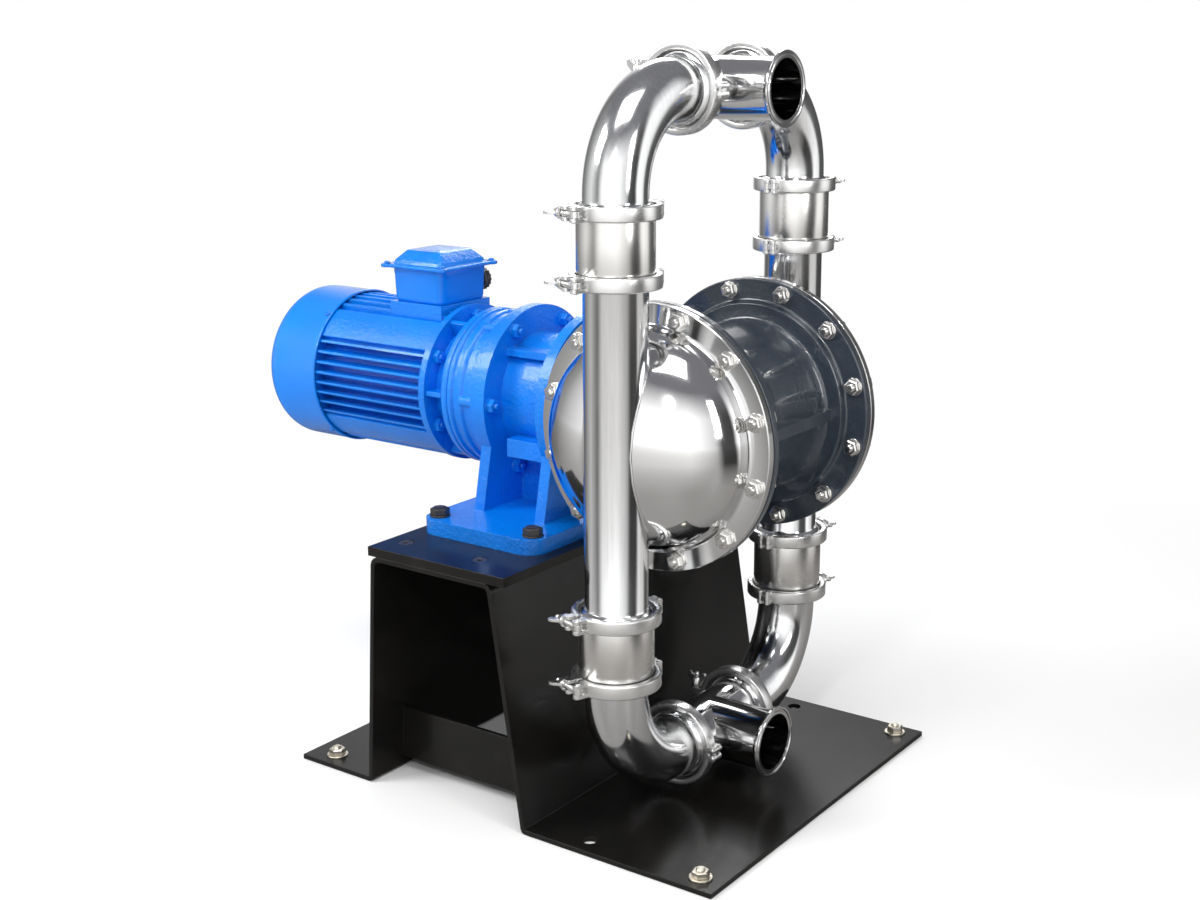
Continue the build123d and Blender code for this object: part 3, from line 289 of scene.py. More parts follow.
finishes["white_seal"] = rubberLike("whiteSeal", (0.78, 0.78, 0.75), 0.4)
finishes["black_plastic"] = rubberLike("blackPlastic", (0.035, 0.035, 0.037), 0.35)

# Every CAD node gets the finish of its slot
slotOf = {part["node"]: part["material_slot"] for part in frame["record"]["subparts"]}
for nodeName, nodeObject in nodes.items():
    nodeObject.data.materials.clear()
    nodeObject.data.materials.append(finishes[slotOf[nodeName]])
print("finishes ready")


# An outline turned about a heading, closed at its ends where the turn isn't full
def turned(mesh, outline, place, heading=(0, 0, 1), steps=48, sweep=360.0, first=None):
    heading = Vector(heading).normalized()
    out = Vector(first).normalized() if first is not None else heading.orthogonal().normalized()
    place = Vector(place)
    dots = [mesh.verts.new(place + heading * along + out * radius) for along, radius in outline]
    pairs = list(zip(dots, dots[1:]))
    if outline[0][1] > 0 or outline[-1][1] > 0:  # a ring's outline closes on itself
        pairs.append((dots[-1], dots[0]))
    lines = [mesh.edges.new(pair) for pair in pairs]
    full = sweep == 360
    angle = math.radians(sweep)
    bmesh.ops.spin(
        mesh, geom=dots + lines, cent=place, axis=heading, angle=angle, steps=steps, use_merge=full
    )
    if not full:
        bmesh.ops.holes_fill(mesh, edges=[line for line in mesh.edges if line.is_boundary], sides=0)


def bar(mesh, low, high, turn=None):
    made = bmesh.ops.create_cube(mesh, size=1)["verts"]
    bmesh.ops.scale(mesh, vec=[b - a for a, b in zip(low, high)], verts=made)
    bmesh.ops.translate(mesh, vec=[(a + b) / 2 for a, b in zip(low, high)], verts=made)
    if turn is not None:
        bmesh.ops.transform(mesh, matrix=turn, verts=made)
    return made


def slab(mesh, corners, rise):
    face = mesh.faces.new([mesh.verts.new(corner) for corner in corners])
    grown = bmesh.ops.extrude_face_region(mesh, geom=[face], use_keep_orig=True)["geom"]
    moved = [part for part in grown if isinstance(part, bmesh.types.BMVert)]
    bmesh.ops.translate(mesh, vec=rise, verts=moved)


# Points of a rounded rectangle about a middle, in the XY plane
def roundedRectangle(middle, size, radius, height, steps):
    corners = []
    for quarter, (sideX, sideY) in enumerate(((1, 1), (-1, 1), (-1, -1), (1, -1))):
        cornerX = middle[0] + sideX * (size[0] / 2 - radius)
        cornerY = middle[1] + sideY * (size[1] / 2 - radius)
        for step in range(steps + 1):
            turn = math.radians(90 * (quarter + step / steps))
            corners.append((cornerX + radius * math.cos(turn), cornerY + radius * math.sin(turn), height))
    return corners


# Skins a stack of rounded rectangles, each given as growth, corner and height
def stacked(mesh, middle, size, levels, steps=6):
    loops = []
    for grow, corner, height in levels:
        dots = roundedRectangle(middle, (size[0] + 2 * grow, size[1] + 2 * grow), corner, height, steps)
        made = [mesh.verts.new(dot) for dot in dots]
        loops.append([mesh.edges.new(pair) for pair in zip(made, made[1:] + made[:1])])
    for lower, upper in zip(loops, loops[1:]):
        bmesh.ops.bridge_loops(mesh, edges=lower + upper)
    bmesh.ops.edgenet_fill(mesh, edges=loops[0])
    bmesh.ops.edgenet_fill(mesh, edges=loops[-1])


# Points of an arc in an outline, from one turn to another in degrees
def arc(along, radius, size, start, end, steps=6):
    turns = [math.radians(start + (end - start) * step / steps) for step in range(steps + 1)]
    return [(along + size * math.cos(turn), radius + size * math.sin(turn)) for turn in turns]


# A round skin along a row of places, each with its heading
def swept(mesh, stations, radius, sides, closed=False):
    rings = []
    for place, heading in stations:
        turn = Matrix.Translation(place) @ Vector(heading).to_track_quat("Z", "X").to_matrix().to_4x4()
        made = bmesh.ops.create_circle(mesh, segments=sides, radius=radius, matrix=turn)["verts"]
        rings.append(list({line for dot in made for line in dot.link_edges}))
    pairs = list(zip(rings, rings[1:]))
    if closed:
        pairs.append((rings[-1], rings[0]))
    for lower, upper in pairs:
        bmesh.ops.bridge_loops(mesh, edges=lower + upper)
    return rings


def everything(mesh):
    return mesh.verts[:] + mesh.edges[:] + mesh.faces[:]


# Empties one mesh into another
def pourInto(target, source):
    held = bpy.data.meshes.new("held")
    source.to_mesh(held)
    source.free()
    target.from_mesh(held)
    bpy.data.meshes.remove(held)


# A frame at a place, turned in degrees about one of its axes
def about(place, degrees, axis):
    return Matrix.Translation(place) @ Matrix.Rotation(math.radians(degrees), 4, axis)


def linked(name, data):
    made = bpy.data.objects.new(name, data)
    bpy.context.scene.collection.objects.link(made)
    return made


# Four spots near the corners of a node's box, moved in from its edges
def cornerSpots(node, inset, height):
    low, high = boxOf(node)
    return [(x, y, height) for x in (low.x + inset, high.x - inset) for y in (low.y + inset, high.y - inset)]


# Merges seams, turns faces outwards, rounds edges and gives the piece to its body
def finishPiece(mesh, name, body, slot, nodes=(), edge=0.6, steps=2, angle=35, matrix=None, look=None):
    bmesh.ops.remove_doubles(mesh, verts=mesh.verts, dist=0.003)
    bmesh.ops.recalc_face_normals(mesh, faces=mesh.faces)
    if matrix is not None:
        bmesh.ops.transform(mesh, matrix=matrix, verts=mesh.verts)
    bmesh.ops.scale(mesh, vec=(mm, mm, mm), verts=mesh.verts)
    for face in mesh.faces:
        face.smooth = True
    for line in mesh.edges:
        line.smooth = len(line.link_faces) == 2 and line.calc_face_angle() < math.radians(angle)
    data = bpy.data.meshes.new(name)
    mesh.to_mesh(data)
    mesh.free()
    data.materials.append(finishes[look or slot])
    piece = linked(name, data)
    softer = piece.modifiers.new("roundedEdges", "BEVEL")
    softer.width = edge * mm
    softer.segments = steps
    softer.limit_method = "ANGLE"
    softer.angle_limit = math.radians(angle)
    softer.harden_normals = True
    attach(piece, body)
    if nodes:
        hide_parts(*nodes)


# A washer, a chamfered nut or head, and the stud's ridged end, standing on a face
def nutOnFace(mesh, place, heading, nut, studOut=0.0):
    place = Vector(place)
    heading = Vector(heading)
    flats = nut["flats"]
    height = nut["height"]
    washer = nut.get("washer", 0)
    washerThick = nut.get("washerThick", 0)
    corner = flats / 2 / math.cos(math.pi / 6)
    if washer:
        rim = [(0, 0), (0, washer - 0.3), (0.3, washer), (washerThick - 0.4, washer)]
        rim += [(washerThick, washer - 0.4), (washerThick, 0)]
        turned(mesh, rim, place, heading, 28)
    seat = place + heading * washerThick
    low = [(0, 0), (0, flats / 2 - 0.2), (0.5, corner), (height - 1.3, corner), (height, flats / 2 - 0.4)]
    if not studOut:
        turned(mesh, low + [(height, 0)], seat, heading, 6)
        return
    stud = nut["stud"]
    turned(mesh, low + [(height, stud + 0.9), (height - 0.8, stud), (height - 0.8, 0)], seat, heading, 6)
    pitch = 1.25
    ridges = [(0, 0), (0, stud - 0.5)]
    for ridge in range(int(studOut / pitch)):
        ridges += [(pitch * ridge + 0.6, stud - 0.1), (pitch * ridge + 1.1, stud - 0.7)]
    ridges += [(studOut + 0.9, stud - 1.3), (studOut + 0.9, 0)]
    turned(mesh, ridges, seat + heading * (height - 1.0), heading, 20)


# Outline of a pipe end: seal groove, rim and the cone that a clamp pulls on
def ferruleEnd(start, way):
    rim = pipe["rim"]
    deep = pipe["grooveDeep"]
    face = [(0, pipe["bore"]), (0, pipe["grooveIn"]), (deep, pipe["grooveIn"] + 0.6)]
    face += [(deep, pipe["grooveOut"] - 0.6), (0, pipe["grooveOut"]), (0, rim - 0.5), (0.5, rim)]
    cone = [(pipe["lip"], rim), (pipe["cone"], rim - pipe["coneDrop"])]
    neck = [(pipe["cone"] + 1.6, pipe["outer"] + 0.9), (pipe["cone"] + 4.1, pipe["outer"])]
    return [(start + way * along, radius) for along, radius in face + cone + neck]


def columnTube(mesh, centreY):
    top = tubeHalf - pipe["halfGasket"]
    outline = ferruleEnd(-top, 1) + list(reversed(ferruleEnd(top, -1)))
    turned(mesh, outline, (0, centreY, axisHeight), steps=72)


# A bend with a straight leg at each end, and a collar with its rim on each leg
def elbowPipe(mesh, side, way):
    centreY = side * columnY
    bendZ = axisHeight + way * (teeRise - pipe["bend"])
    startZ = axisHeight + way * (spoolJoint + pipe["halfGasket"])
    endY = side * (teeJoint + pipe["halfGasket"])
    stations = [(Vector((0, centreY, startZ)), (0, 0, way))]
    for step in range(pipe["bendSteps"] + 1):
        turn = math.radians(90 * step / pipe["bendSteps"])
        inward = pipe["bend"] * (1 - math.cos(turn))
        climb = pipe["bend"] * math.sin(turn)
        place = Vector((0, centreY - side * inward, bendZ + way * climb))
        stations.append((place, (0, -side * math.sin(turn), way * math.cos(turn))))
    stations.append((Vector((0, endY, axisHeight + way * teeRise)), (0, -side, 0)))
    outer = swept(mesh, stations, pipe["outer"], pipe["sides"])
    inner = swept(mesh, stations, pipe["bore"], pipe["sides"])
    for spot in (0, -1):
        bmesh.ops.bridge_loops(mesh, edges=outer[spot] + inner[spot])
    under = pipe["outer"] - pipe["collarThick"]
    for place, heading in ((stations[0][0], (0, 0, way)), (stations[-1][0], (0, side, 0))):
        outline = ferruleEnd(0, 1) + [(pipe["collar"], pipe["outer"] - 0.4), (pipe["collar"], under)]
        outline += [(0.6, under), (0.6, pipe["bore"])]
        turned(mesh, outline, place, heading, pipe["sides"])


elbowMesh = bmesh.new()
for side in (-1, 1):
    for way in (-1, 1):
        elbowPipe(elbowMesh, side, way)
finishPiece(
    elbowMesh, "elbowPipes", "stand", "polished_steel", ["pipe_elbows"],
    edge=0.3, steps=1, angle=40, look="tubeSteel",
)
print("elbows ready")

# Tees: half a run and half a branch, both cut at the mitre, joined and mirrored
teeMesh = bmesh.new()
for way in (-1, 1):
    half = bmesh.new()
    run = [(0, pipe["bore"])] + ferruleEnd(teeJoint - pipe["halfGasket"], -1) + [(0, pipe["outer"])]
    turned(half, run, (0, 0, 0), (0, 1, 0), 72, first=(1, 0, 0))
    bmesh.ops.bisect_plane(
        half, geom=everything(half), plane_co=(0, 0, 0), plane_no=(1, -1, 0), clear_outer=True
    )
    branch = bmesh.new()
    port = [(0, pipe["bore"])] + ferruleEnd(teeHigh.x, -1) + [(0, pipe["outer"])]
    turned(branch, port, (0, 0, 0), (1, 0, 0), 72, first=(0, 1, 0))
    for normal in ((1, -1, 0), (0, 1, 0)):
        bmesh.ops.bisect_plane(
            branch, geom=everything(branch), plane_co=(0, 0, 0), plane_no=normal, clear_inner=True
        )
    pourInto(half, branch)
    upright = [face for face in half.faces if abs(face.normal.y) > 0.999]
    flat = [face for face in upright if abs(face.calc_center_median().y) < 0.01]
    bmesh.ops.delete(half, geom=flat, context="FACES")
    bmesh.ops.mirror(half, geom=everything(half), axis="Y", merge_dist=0.01)
    bmesh.ops.remove_doubles(half, verts=half.verts, dist=0.02)
    bmesh.ops.translate(half, verts=half.verts, vec=(0, 0, axisHeight + way * teeRise))
    pourInto(teeMesh, half)
finishPiece(teeMesh, "teePipes", "stand", "polished_steel", ["pipe_tees"], edge=0.5, angle=40)
print("tees ready")

# Valve spools, turned and lightly brushed, with the bars that stop their balls
spool = {
    "wall": 3.0,
    "grooveStart": 2.6,
    "grooveMiddle": 5.0,
    "grooveEnd": 7.4,
    "grooveDeep": 2.0,
    "stopBar": 6.0,
    "ballLift": 12.0,
    "stopGap": 0.5,
}
spoolLength = spoolJoint - tubeHalf - 2 * pipe["halfGasket"]
ballTop = boxOf("first_stroke_balls")[1].z  # the upper ball of the pair
upperFoot = axisHeight + (tubeHalf + spoolJoint) / 2 - spoolLength / 2
stopRise = ballTop - upperFoot + spool["ballLift"] + spool["stopGap"]


# One end of a spool's outline: its lip and the groove that the clamp grips behind
def spoolEnd(start, way):
    rim = pipe["rim"]
    points = [(0, rim - spool["wall"]), (0, rim - 0.8), (0.8, rim), (spool["grooveStart"], rim)]
    points += [(spool["grooveMiddle"], rim - spool["grooveDeep"]), (spool["grooveEnd"], rim - 0.3)]
    points += [(spool["grooveEnd"] + 1.2, rim)]
    return [(start + way * along, radius) for along, radius in points]


spoolMesh = bmesh.new()
for side in (-1, 1):
    for way in (-1, 1):
        foot = axisHeight + way * (tubeHalf + spoolJoint) / 2 - spoolLength / 2
        outline = spoolEnd(0, 1) + list(reversed(spoolEnd(spoolLength, -1)))
        turned(spoolMesh, outline, (0, side * columnY, foot), steps=72)
        stopZ = foot + stopRise
        stopY = side * columnY
        reach = pipe["rim"] - spool["wall"] + 0.5
        halfBar = spool["stopBar"] / 2
        bar(spoolMesh, (-reach, stopY - halfBar, stopZ), (reach, stopY + halfBar, stopZ + spool["stopBar"]))
finishPiece(spoolMesh, "valveSpools", "stand", "brushed_stainless", ["valve_spools"], edge=0.2, steps=1)
print("valve spools ready")

# Polished chambers: cover flange, dished dome and the column tube welded through it
chamber = {
    "rim": 164.0,
    "back": 121.0,
    "dome": 137.0,
    "depth": 92.5,
    "fillet": 4.0,
    "wall": 3.0,
    "cavity": 92.0,
    "bead": 1.6,
    "beadSteps": 56,
}


# Points of the dome's outline: an ellipse that stands on the flange's face
def domeArc(shrink, low, high, steps):
    turns = [math.radians(low + (high - low) * step / steps) for step in range(steps + 1)]
    depth = chamber["depth"] - shrink
    wide = chamber["dome"] - shrink
    return [(flangeFace + depth * math.sin(turn), max(wide * math.cos(turn), 0)) for turn in turns]


def chamberShell(mesh, side):
    back = chamber["back"]
    rim = chamber["rim"]
    fillet = chamber["fillet"]
    outline = domeArc(chamber["wall"], 90, 12, 24)
    outline += [(back, chamber["cavity"]), (back, rim - 0.6), (back + 0.6, rim), (flangeFace - 1.0, rim)]
    outline += [(flangeFace, rim - 1.0), (flangeFace, rim - 1.6)]
    outline += arc(flangeFace + fillet, chamber["dome"] + fillet, fillet, 180, 262)
    outline += domeArc(0, 4, 90, 44)
    outline[0] = (outline[0][0], 0)  # both walls end on the axis
    outline[-1] = (outline[-1][0], 0)
    turned(mesh, outline, (0, 0, axisHeight), (0, side, 0), 120)


# The weld follows the line where tube and dome meet, up one side of the tube and down the other
def weldLoop(mesh, side):
    tube = pipe["outer"]
    dome = chamber["dome"]
    depth = chamber["depth"]
    offset = columnY - flangeFace
    square = tube**2 / depth**2 - tube**2 / dome**2
    slope = 2 * offset * tube / depth**2
    rest = offset**2 / depth**2 + tube**2 / dome**2 - 1
    limit = math.degrees(math.asin((math.sqrt(slope**2 - 4 * square * rest) - slope) / (2 * square)))
    sweep = limit * 2 + 180
    places = []
    for way in (1, -1):
        for step in range(chamber["beadSteps"]):
            gone = sweep * step / chamber["beadSteps"]
            turn = math.radians(limit - gone if way > 0 else gone - 180 - limit)
            aside = tube * math.cos(turn)
            out = offset + tube * math.sin(turn)
            rise = math.sqrt(max(dome**2 * (1 - out**2 / depth**2) - aside**2, 0))
            places.append(Vector((aside, side * (flangeFace + out), axisHeight + way * rise)))
    after = places[1:] + places[:1]
    before = places[-1:] + places[:-1]
    stations = [(place, ahead - behind) for place, ahead, behind in zip(places, after, before)]
    swept(mesh, stations, chamber["bead"], 8, closed=True)


for column, side in (("near", -1), ("far", 1)):
    chamberMesh = bmesh.new()
    chamberShell(chamberMesh, side)
    weldLoop(chamberMesh, side)
    node = column + "_chamber"
    name = column + "Chamber"
    finishPiece(chamberMesh, name, "stand", "polished_steel", [node], edge=0.3, steps=1, angle=40)
    tubeMesh = bmesh.new()
    columnTube(tubeMesh, side * columnY)
    finishPiece(
        tubeMesh, column + "Column", "stand", "polished_steel", edge=0.3, steps=1, angle=40, look="tubeSteel"
    )
print("chambers ready")

# Chamber bolts: washers, nuts and studs round both covers, in polished stainless steel
chamberNut = {
    "circle": 150.5,
    "count": 12,
    "flats": 18.0,
    "height": 8.0,
    "washer": 11.5,
    "washerThick": 1.6,
    "stud": 5.2,
    "frontOut": 4.0,
    "backOut": 5.0,
    "bodyBack": 108.0,
}
boltMesh = bmesh.new()
for side in (-1, 1):
    for number in range(chamberNut["count"]):
        turn = math.radians((number + 0.5) * 360 / chamberNut["count"])
        boltX = chamberNut["circle"] * math.cos(turn)
        boltZ = axisHeight + chamberNut["circle"] * math.sin(turn)
        front = (boltX, side * flangeFace, boltZ)
        behind = (boltX, side * chamberNut["bodyBack"], boltZ)
        nutOnFace(boltMesh, front, (0, side, 0), chamberNut, chamberNut["frontOut"])
        nutOnFace(boltMesh, behind, (0, -side, 0), chamberNut, chamberNut["backOut"])
finishPiece(
    boltMesh, "chamberNuts", "stand", "brushed_stainless", ["chamber_bolts"],
    edge=0.25, steps=1, look="brightBolt",
)
print("chamber nuts ready")

# Anchor bolts of the feet, zinc plated
anchorBolt = {
    "sheet": 6.0,
    "shank": 6.0,
    "depth": 5.0,
    "flats": 19.0,
    "height": 8.0,
    "washer": 14.0,
    "washerThick": 2.5,
    "stud": 5.4,
    "studOut": 3.0,
}
anchorMesh = bmesh.new()
shank = anchorBolt["shank"]
depth = -anchorBolt["depth"]
for place in cornerSpots("anchor_bolts", anchorBolt["washer"], anchorBolt["sheet"]):
    turned(anchorMesh, [(0, 0), (0, shank), (depth, shank), (depth, 0)], place, steps=20)
    nutOnFace(anchorMesh, place, (0, 0, 1), anchorBolt, anchorBolt["studOut"])
finishPiece(anchorMesh, "anchorBolts", "stand", "zinc_steel", ["anchor_bolts"], edge=0.3, steps=1)

# Foot bolts of the reducer, black, with a dished top
footBolt = {
    "foot": 20.0,
    "shank": 7.0,
    "flats": 22.0,
    "height": 9.0,
    "washer": 13.5,
    "washerThick": 2.5,
    "dish": 7.2,
    "dishLip": 0.6,
}
plateTop = boxOf("drive_plate")[1].z
footTop = plateTop + footBolt["foot"]
footMesh = bmesh.new()
shank = footBolt["shank"]
depth = boxOf("foot_bolts")[0].z - footTop
top = footBolt["washerThick"] + footBolt["height"]
lip = top + footBolt["dishLip"]
dish = footBolt["dish"]
for place in cornerSpots("foot_bolts", footBolt["washer"], footTop):
    turned(footMesh, [(0, 0), (0, shank), (depth, shank), (depth, 0)], place, steps=20)
    nutOnFace(footMesh, place, (0, 0, 1), footBolt)
    turned(footMesh, [(top, 0), (top, dish), (lip, dish + 1), (lip, 0)], place, steps=28)
finishPiece(footMesh, "footBolts", "stand", "black_bolt", ["foot_bolts"], edge=0.4, steps=1)

# Countersunk screws of the drive plate, with round drives sunk in their heads
plateScrew = {
    "edge": 9.6,
    "head": 9.5,
    "cone": 4.6,
    "shank": 5.0,
    "length": 18.0,
    "drive": 3.7,
    "driveDeep": 4.0,
    "sunk": 0.2,
}
screwMesh = bmesh.new()
shank = plateScrew["shank"]
head = plateScrew["head"]
drive = plateScrew["drive"]
deep = -plateScrew["driveDeep"]
outline = [(-plateScrew["length"], 0), (-plateScrew["length"], shank), (-plateScrew["cone"], shank)]
outline += [(-0.5, head), (0, head), (0, drive + 0.5), (-0.6, drive), (deep, drive), (deep, 0)]
for place in cornerSpots("plate_screws", plateScrew["edge"], plateTop - plateScrew["sunk"]):
    turned(screwMesh, outline, place, steps=36)
finishPiece(screwMesh, "plateScrews", "stand", "black_bolt", ["plate_screws"], edge=0.2, steps=1)
print("stand and foot bolts ready")

# Pipe clamps: each place has its middle, the way its latch points and the way of its pipe
clamp = {
    "outer": 54.0,
    "inner": 46.2,
    "half": 8.5,
    "wedge": 50.2,
    "wedgeHalf": 3.2,
    "split": 3.2,  # degrees each side of the split
    "earRoot": 50.6,
    "nearEar": (68.0, -16.0, -6.0),
    "farEar": (66.0, 4.0, 14.0),
    "earRound": 4.2,
    "slot": 8.6,
    "pinReach": 62.0,
    "pinBack": 11.0,
    "pin": 2.45,
    "hinge": 58.5,
    "hingePins": 5.2,
    "hingePin": 2.9,
    "knuckle": 4.3,
    "knuckleGap": 4.0,
    "nearAngle": 250.0,
    "farAngle": 88.0,
}
clampPlaces = {}
for column, side, angle in (("near", -1, clamp["nearAngle"]), ("far", 1, clamp["farAngle"])):
    aim = Vector((math.cos(math.radians(angle)), math.sin(math.radians(angle)), 0))
    for joint, rise in (
        ("upper_elbow", spoolJoint),
        ("upper_tube", tubeHalf),
        ("lower_tube", -tubeHalf),
        ("lower_elbow", -spoolJoint),
    ):
        middle = Vector((0, side * columnY, axisHeight + rise))
        clampPlaces[column + "_" + joint] = (middle, aim, Vector((0, 0, -1)))
    for joint, way in (("upper_tee", 1), ("lower_tee", -1)):
        middle = Vector((0, side * teeJoint, axisHeight + way * teeRise))
        clampPlaces[column + "_" + joint] = (middle, Vector((-1, 0, 0)), Vector((0, 1, 0)))


def clampMatrix(place):
    middle, aim, tubeWay = clampPlaces[place]
    turn = Matrix((aim, tubeWay.cross(aim), tubeWay)).transposed().to_4x4()
    return Matrix.Translation(middle) @ turn


# Both cheeks of one ear, rounded at the tip
def clampEar(mesh, tip, low, high):
    for way in (-1, 1):
        levels = sorted((way * clamp["slot"] / 2, way * clamp["half"]))
        cheek = bar(mesh, (clamp["earRoot"], low, levels[0]), (tip, high, levels[1]))
        own = [line for line in mesh.edges if line.verts[0] in cheek and line.verts[1] in cheek]
        outer = [line for line in own if all(dot.co.x > clamp["hinge"] for dot in line.verts)]
        corners = [line for line in outer if abs(line.verts[0].co.z - line.verts[1].co.z) > 1]
        size = clamp["earRound"]
        bmesh.ops.bevel(
            mesh, geom=corners, offset=size, offset_type="OFFSET", affect="EDGES",
            segments=5, profile=0.5, material=-1,
        )


# The hinge opposite the latch: two pins, each through two knuckles, and the link between them
def clampHinge(mesh):
    half = clamp["half"]
    knuckle = clamp["knuckle"]
    back = -clamp["hinge"]
    for sideways in (-clamp["hingePins"], clamp["hingePins"]):
        for way in (-1, 1):
            low, high = sorted((way * clamp["knuckleGap"], way * half))
            barrel = [(low, 0), (low, knuckle), (high, knuckle), (high, 0)]
            turned(mesh, barrel, (back, sideways, 0), steps=24)
            bar(mesh, (back, sideways - 4.0, low), (-clamp["earRoot"] - 0.4, sideways + 4.0, high))
        pin = clamp["hingePin"]
        ends = [(-half - 1.3, 0), (-half - 1.3, pin - 0.7), (-half - 0.5, pin)]
        ends += [(half + 0.5, pin), (half + 1.3, pin - 0.7), (half + 1.3, 0)]
        turned(mesh, ends, (back, sideways, 0), steps=20)
        turned(mesh, [(-3.7, 0), (-3.7, 4.2), (3.7, 4.2), (3.7, 0)], (back, sideways, 0), steps=24)
    bar(mesh, (back - 3.1, -clamp["hingePins"], -3.6), (back + 3.1, clamp["hingePins"], 3.6))


# One ring: a wedge channel that is open at the latch, its ears, the latch pin and the hinge
def clampRing(mesh):
    inner = clamp["inner"]
    outer = clamp["outer"]
    half = clamp["half"]
    outline = [(-half + 0.4, inner + 0.4), (-half, inner + 1.2)]
    outline += arc(-half + 2.0, outer - 2.0, 2.0, 180, 90, 4)
    outline += arc(half - 2.0, outer - 2.0, 2.0, 90, 0, 4)
    outline += [(half, inner + 1.2), (half - 0.4, inner + 0.4), (half - 2.2, inner + 0.2)]
    outline += [(clamp["wedgeHalf"], clamp["wedge"]), (-clamp["wedgeHalf"], clamp["wedge"])]
    outline += [(-half + 2.2, inner + 0.2)]
    split = math.radians(clamp["split"])
    start = Vector((math.cos(split), math.sin(split), 0))
    turned(mesh, outline, (0, 0, 0), (0, 0, 1), 72, 360 - 2 * clamp["split"], start)
    clampEar(mesh, *clamp["nearEar"])
    clampEar(mesh, *clamp["farEar"])
    pin = clamp["pin"]
    far = 2 * half + 1.2
    rivet = [(0, 0), (0, 2.6), (0.6, 3.3), (1.2, 3.4), (1.2, pin), (far, pin), (far, 3.4)]
    rivet += [(far + 0.6, 3.3), (far + 1.2, 2.6), (far + 1.2, 0)]
    turned(mesh, rivet, (clamp["pinReach"], -clamp["pinBack"], -half - 1.2), steps=20)
    clampHinge(mesh)


ringMesh = bmesh.new()
for place in clampPlaces:
    single = bmesh.new()
    clampRing(single)
    bmesh.ops.remove_doubles(single, verts=single.verts, dist=0.003)
    bmesh.ops.recalc_face_normals(single, faces=single.faces)
    bmesh.ops.transform(single, matrix=clampMatrix(place), verts=single.verts)
    pourInto(ringMesh, single)
finishPiece(
    ringMesh, "clampRings", "stand", "brushed_stainless", ["clamp_rings"],
    edge=0.5, angle=40, look="castStainless",
)
print("clamp rings ready")

# Swing bolts: eye on the pin, threaded rod and a wing nut, each on its own body
swingBolt = {
    "eye": 5.2,
    "eyeBore": 2.75,
    "eyeHalf": 4.0,
    "rod": 3.1,
    "threadStart": 16.0,
    "crest": 3.35,
    "root": 2.75,
    "pitch": 2.0,
    "ridges": 14,
    "end": 45.0,
    "nutStart": 14.5,
    "washer": 7.6,
    "wingThick": 3.4,
}


def swingBoltRod(mesh, reach, back):
    eye = swingBolt["eye"]
    bore = swingBolt["eyeBore"]
    half = swingBolt["eyeHalf"]
    ring = [(-half, bore), (-half, eye - 0.6), (-half + 0.5, eye)]
    ring += [(half - 0.5, eye), (half, eye - 0.6), (half, bore)]
    turned(mesh, ring, (reach, back, 0), (0, 0, 1), 32)
    thread = [(eye - 0.6, 0), (eye - 0.6, swingBolt["rod"]), (swingBolt["threadStart"], swingBolt["rod"])]
    for ridge in range(swingBolt["ridges"]):
        along = swingBolt["threadStart"] + swingBolt["pitch"] * ridge
        thread += [(along + 0.6, swingBolt["crest"]), (along + 1.5, swingBolt["root"])]
    thread += [(swingBolt["end"], swingBolt["root"] - 0.25), (swingBolt["end"] + 0.5, 0)]
    turned(mesh, thread, (reach, back, 0), (0, 1, 0), 20)


def wingNut(mesh, reach):
    start = swingBolt["nutStart"]
    thick = swingBolt["wingThick"]
    washer = [(-0.2, 3.6), (-0.2, swingBolt["washer"]), (1.2, swingBolt["washer"]), (1.2, 3.6)]
    turned(mesh, washer, (reach, start, 0), (0, 1, 0), 32)
    hub = [(1.2, 3.5), (1.2, 7.2), (2.4, 7.4), (6.0, 6.4), (11.0, 5.2), (12.0, 4.4), (12.0, 3.5)]
    turned(mesh, hub, (reach, start, 0), (0, 1, 0), 32)
    blade = [(0, 2.5), (6.4, 3.4), (8.6, 6.5), (12.4, 10.5), (14.0, 14.0), (14.0, 17.4), (12.8, 19.0)]
    blade += [(9.4, 19.0), (6.8, 16.6), (3.6, 14.6), (0, 14.0)]
    for side in (-1, 1):
        corners = [(reach + side * out, start + along, -thick / 2) for out, along in blade]
        slab(mesh, corners, (0, 0, thick))


for place in clampPlaces:
    latch = bmesh.new()
    swingBoltRod(latch, clamp["pinReach"], -clamp["pinBack"])
    wingNut(latch, clamp["pinReach"])
    node = place + "_latch"
    finishPiece(
        latch, place + "SwingBolt", node, "brushed_stainless", [node],
        edge=0.35, angle=38, matrix=clampMatrix(place), look="castStainless",
    )
print("swing bolts ready")

# Pump body: flanges, bosses and flared bowls, the neck to the reducer and the flat side rib
body = {
    "rim": 164.0,
    "face": 118.0,
    "back": 108.0,
    "boss": 134.0,
    "bossTop": 100.0,
    "bowl": 116.0,
    "drum": 98.0,
    "waist": 34.0,
    "cavity": 78.0,
    "cavityDeep": 30.0,
    "rodRoom": 40.0,
    "neck": 80.0,
    "neckBore": 30.0,
    "neckFlange": 104.0,
    "neckFlangeThick": 12.0,
    "neckStart": -171.0,
    "neckEnd": -40.0,
    "flareStart": -92.0,
    "ribStart": 82.0,
    "ribReach": 118.0,
    "ribHalf": 104.0,
    "ribThick": 15.0,
}


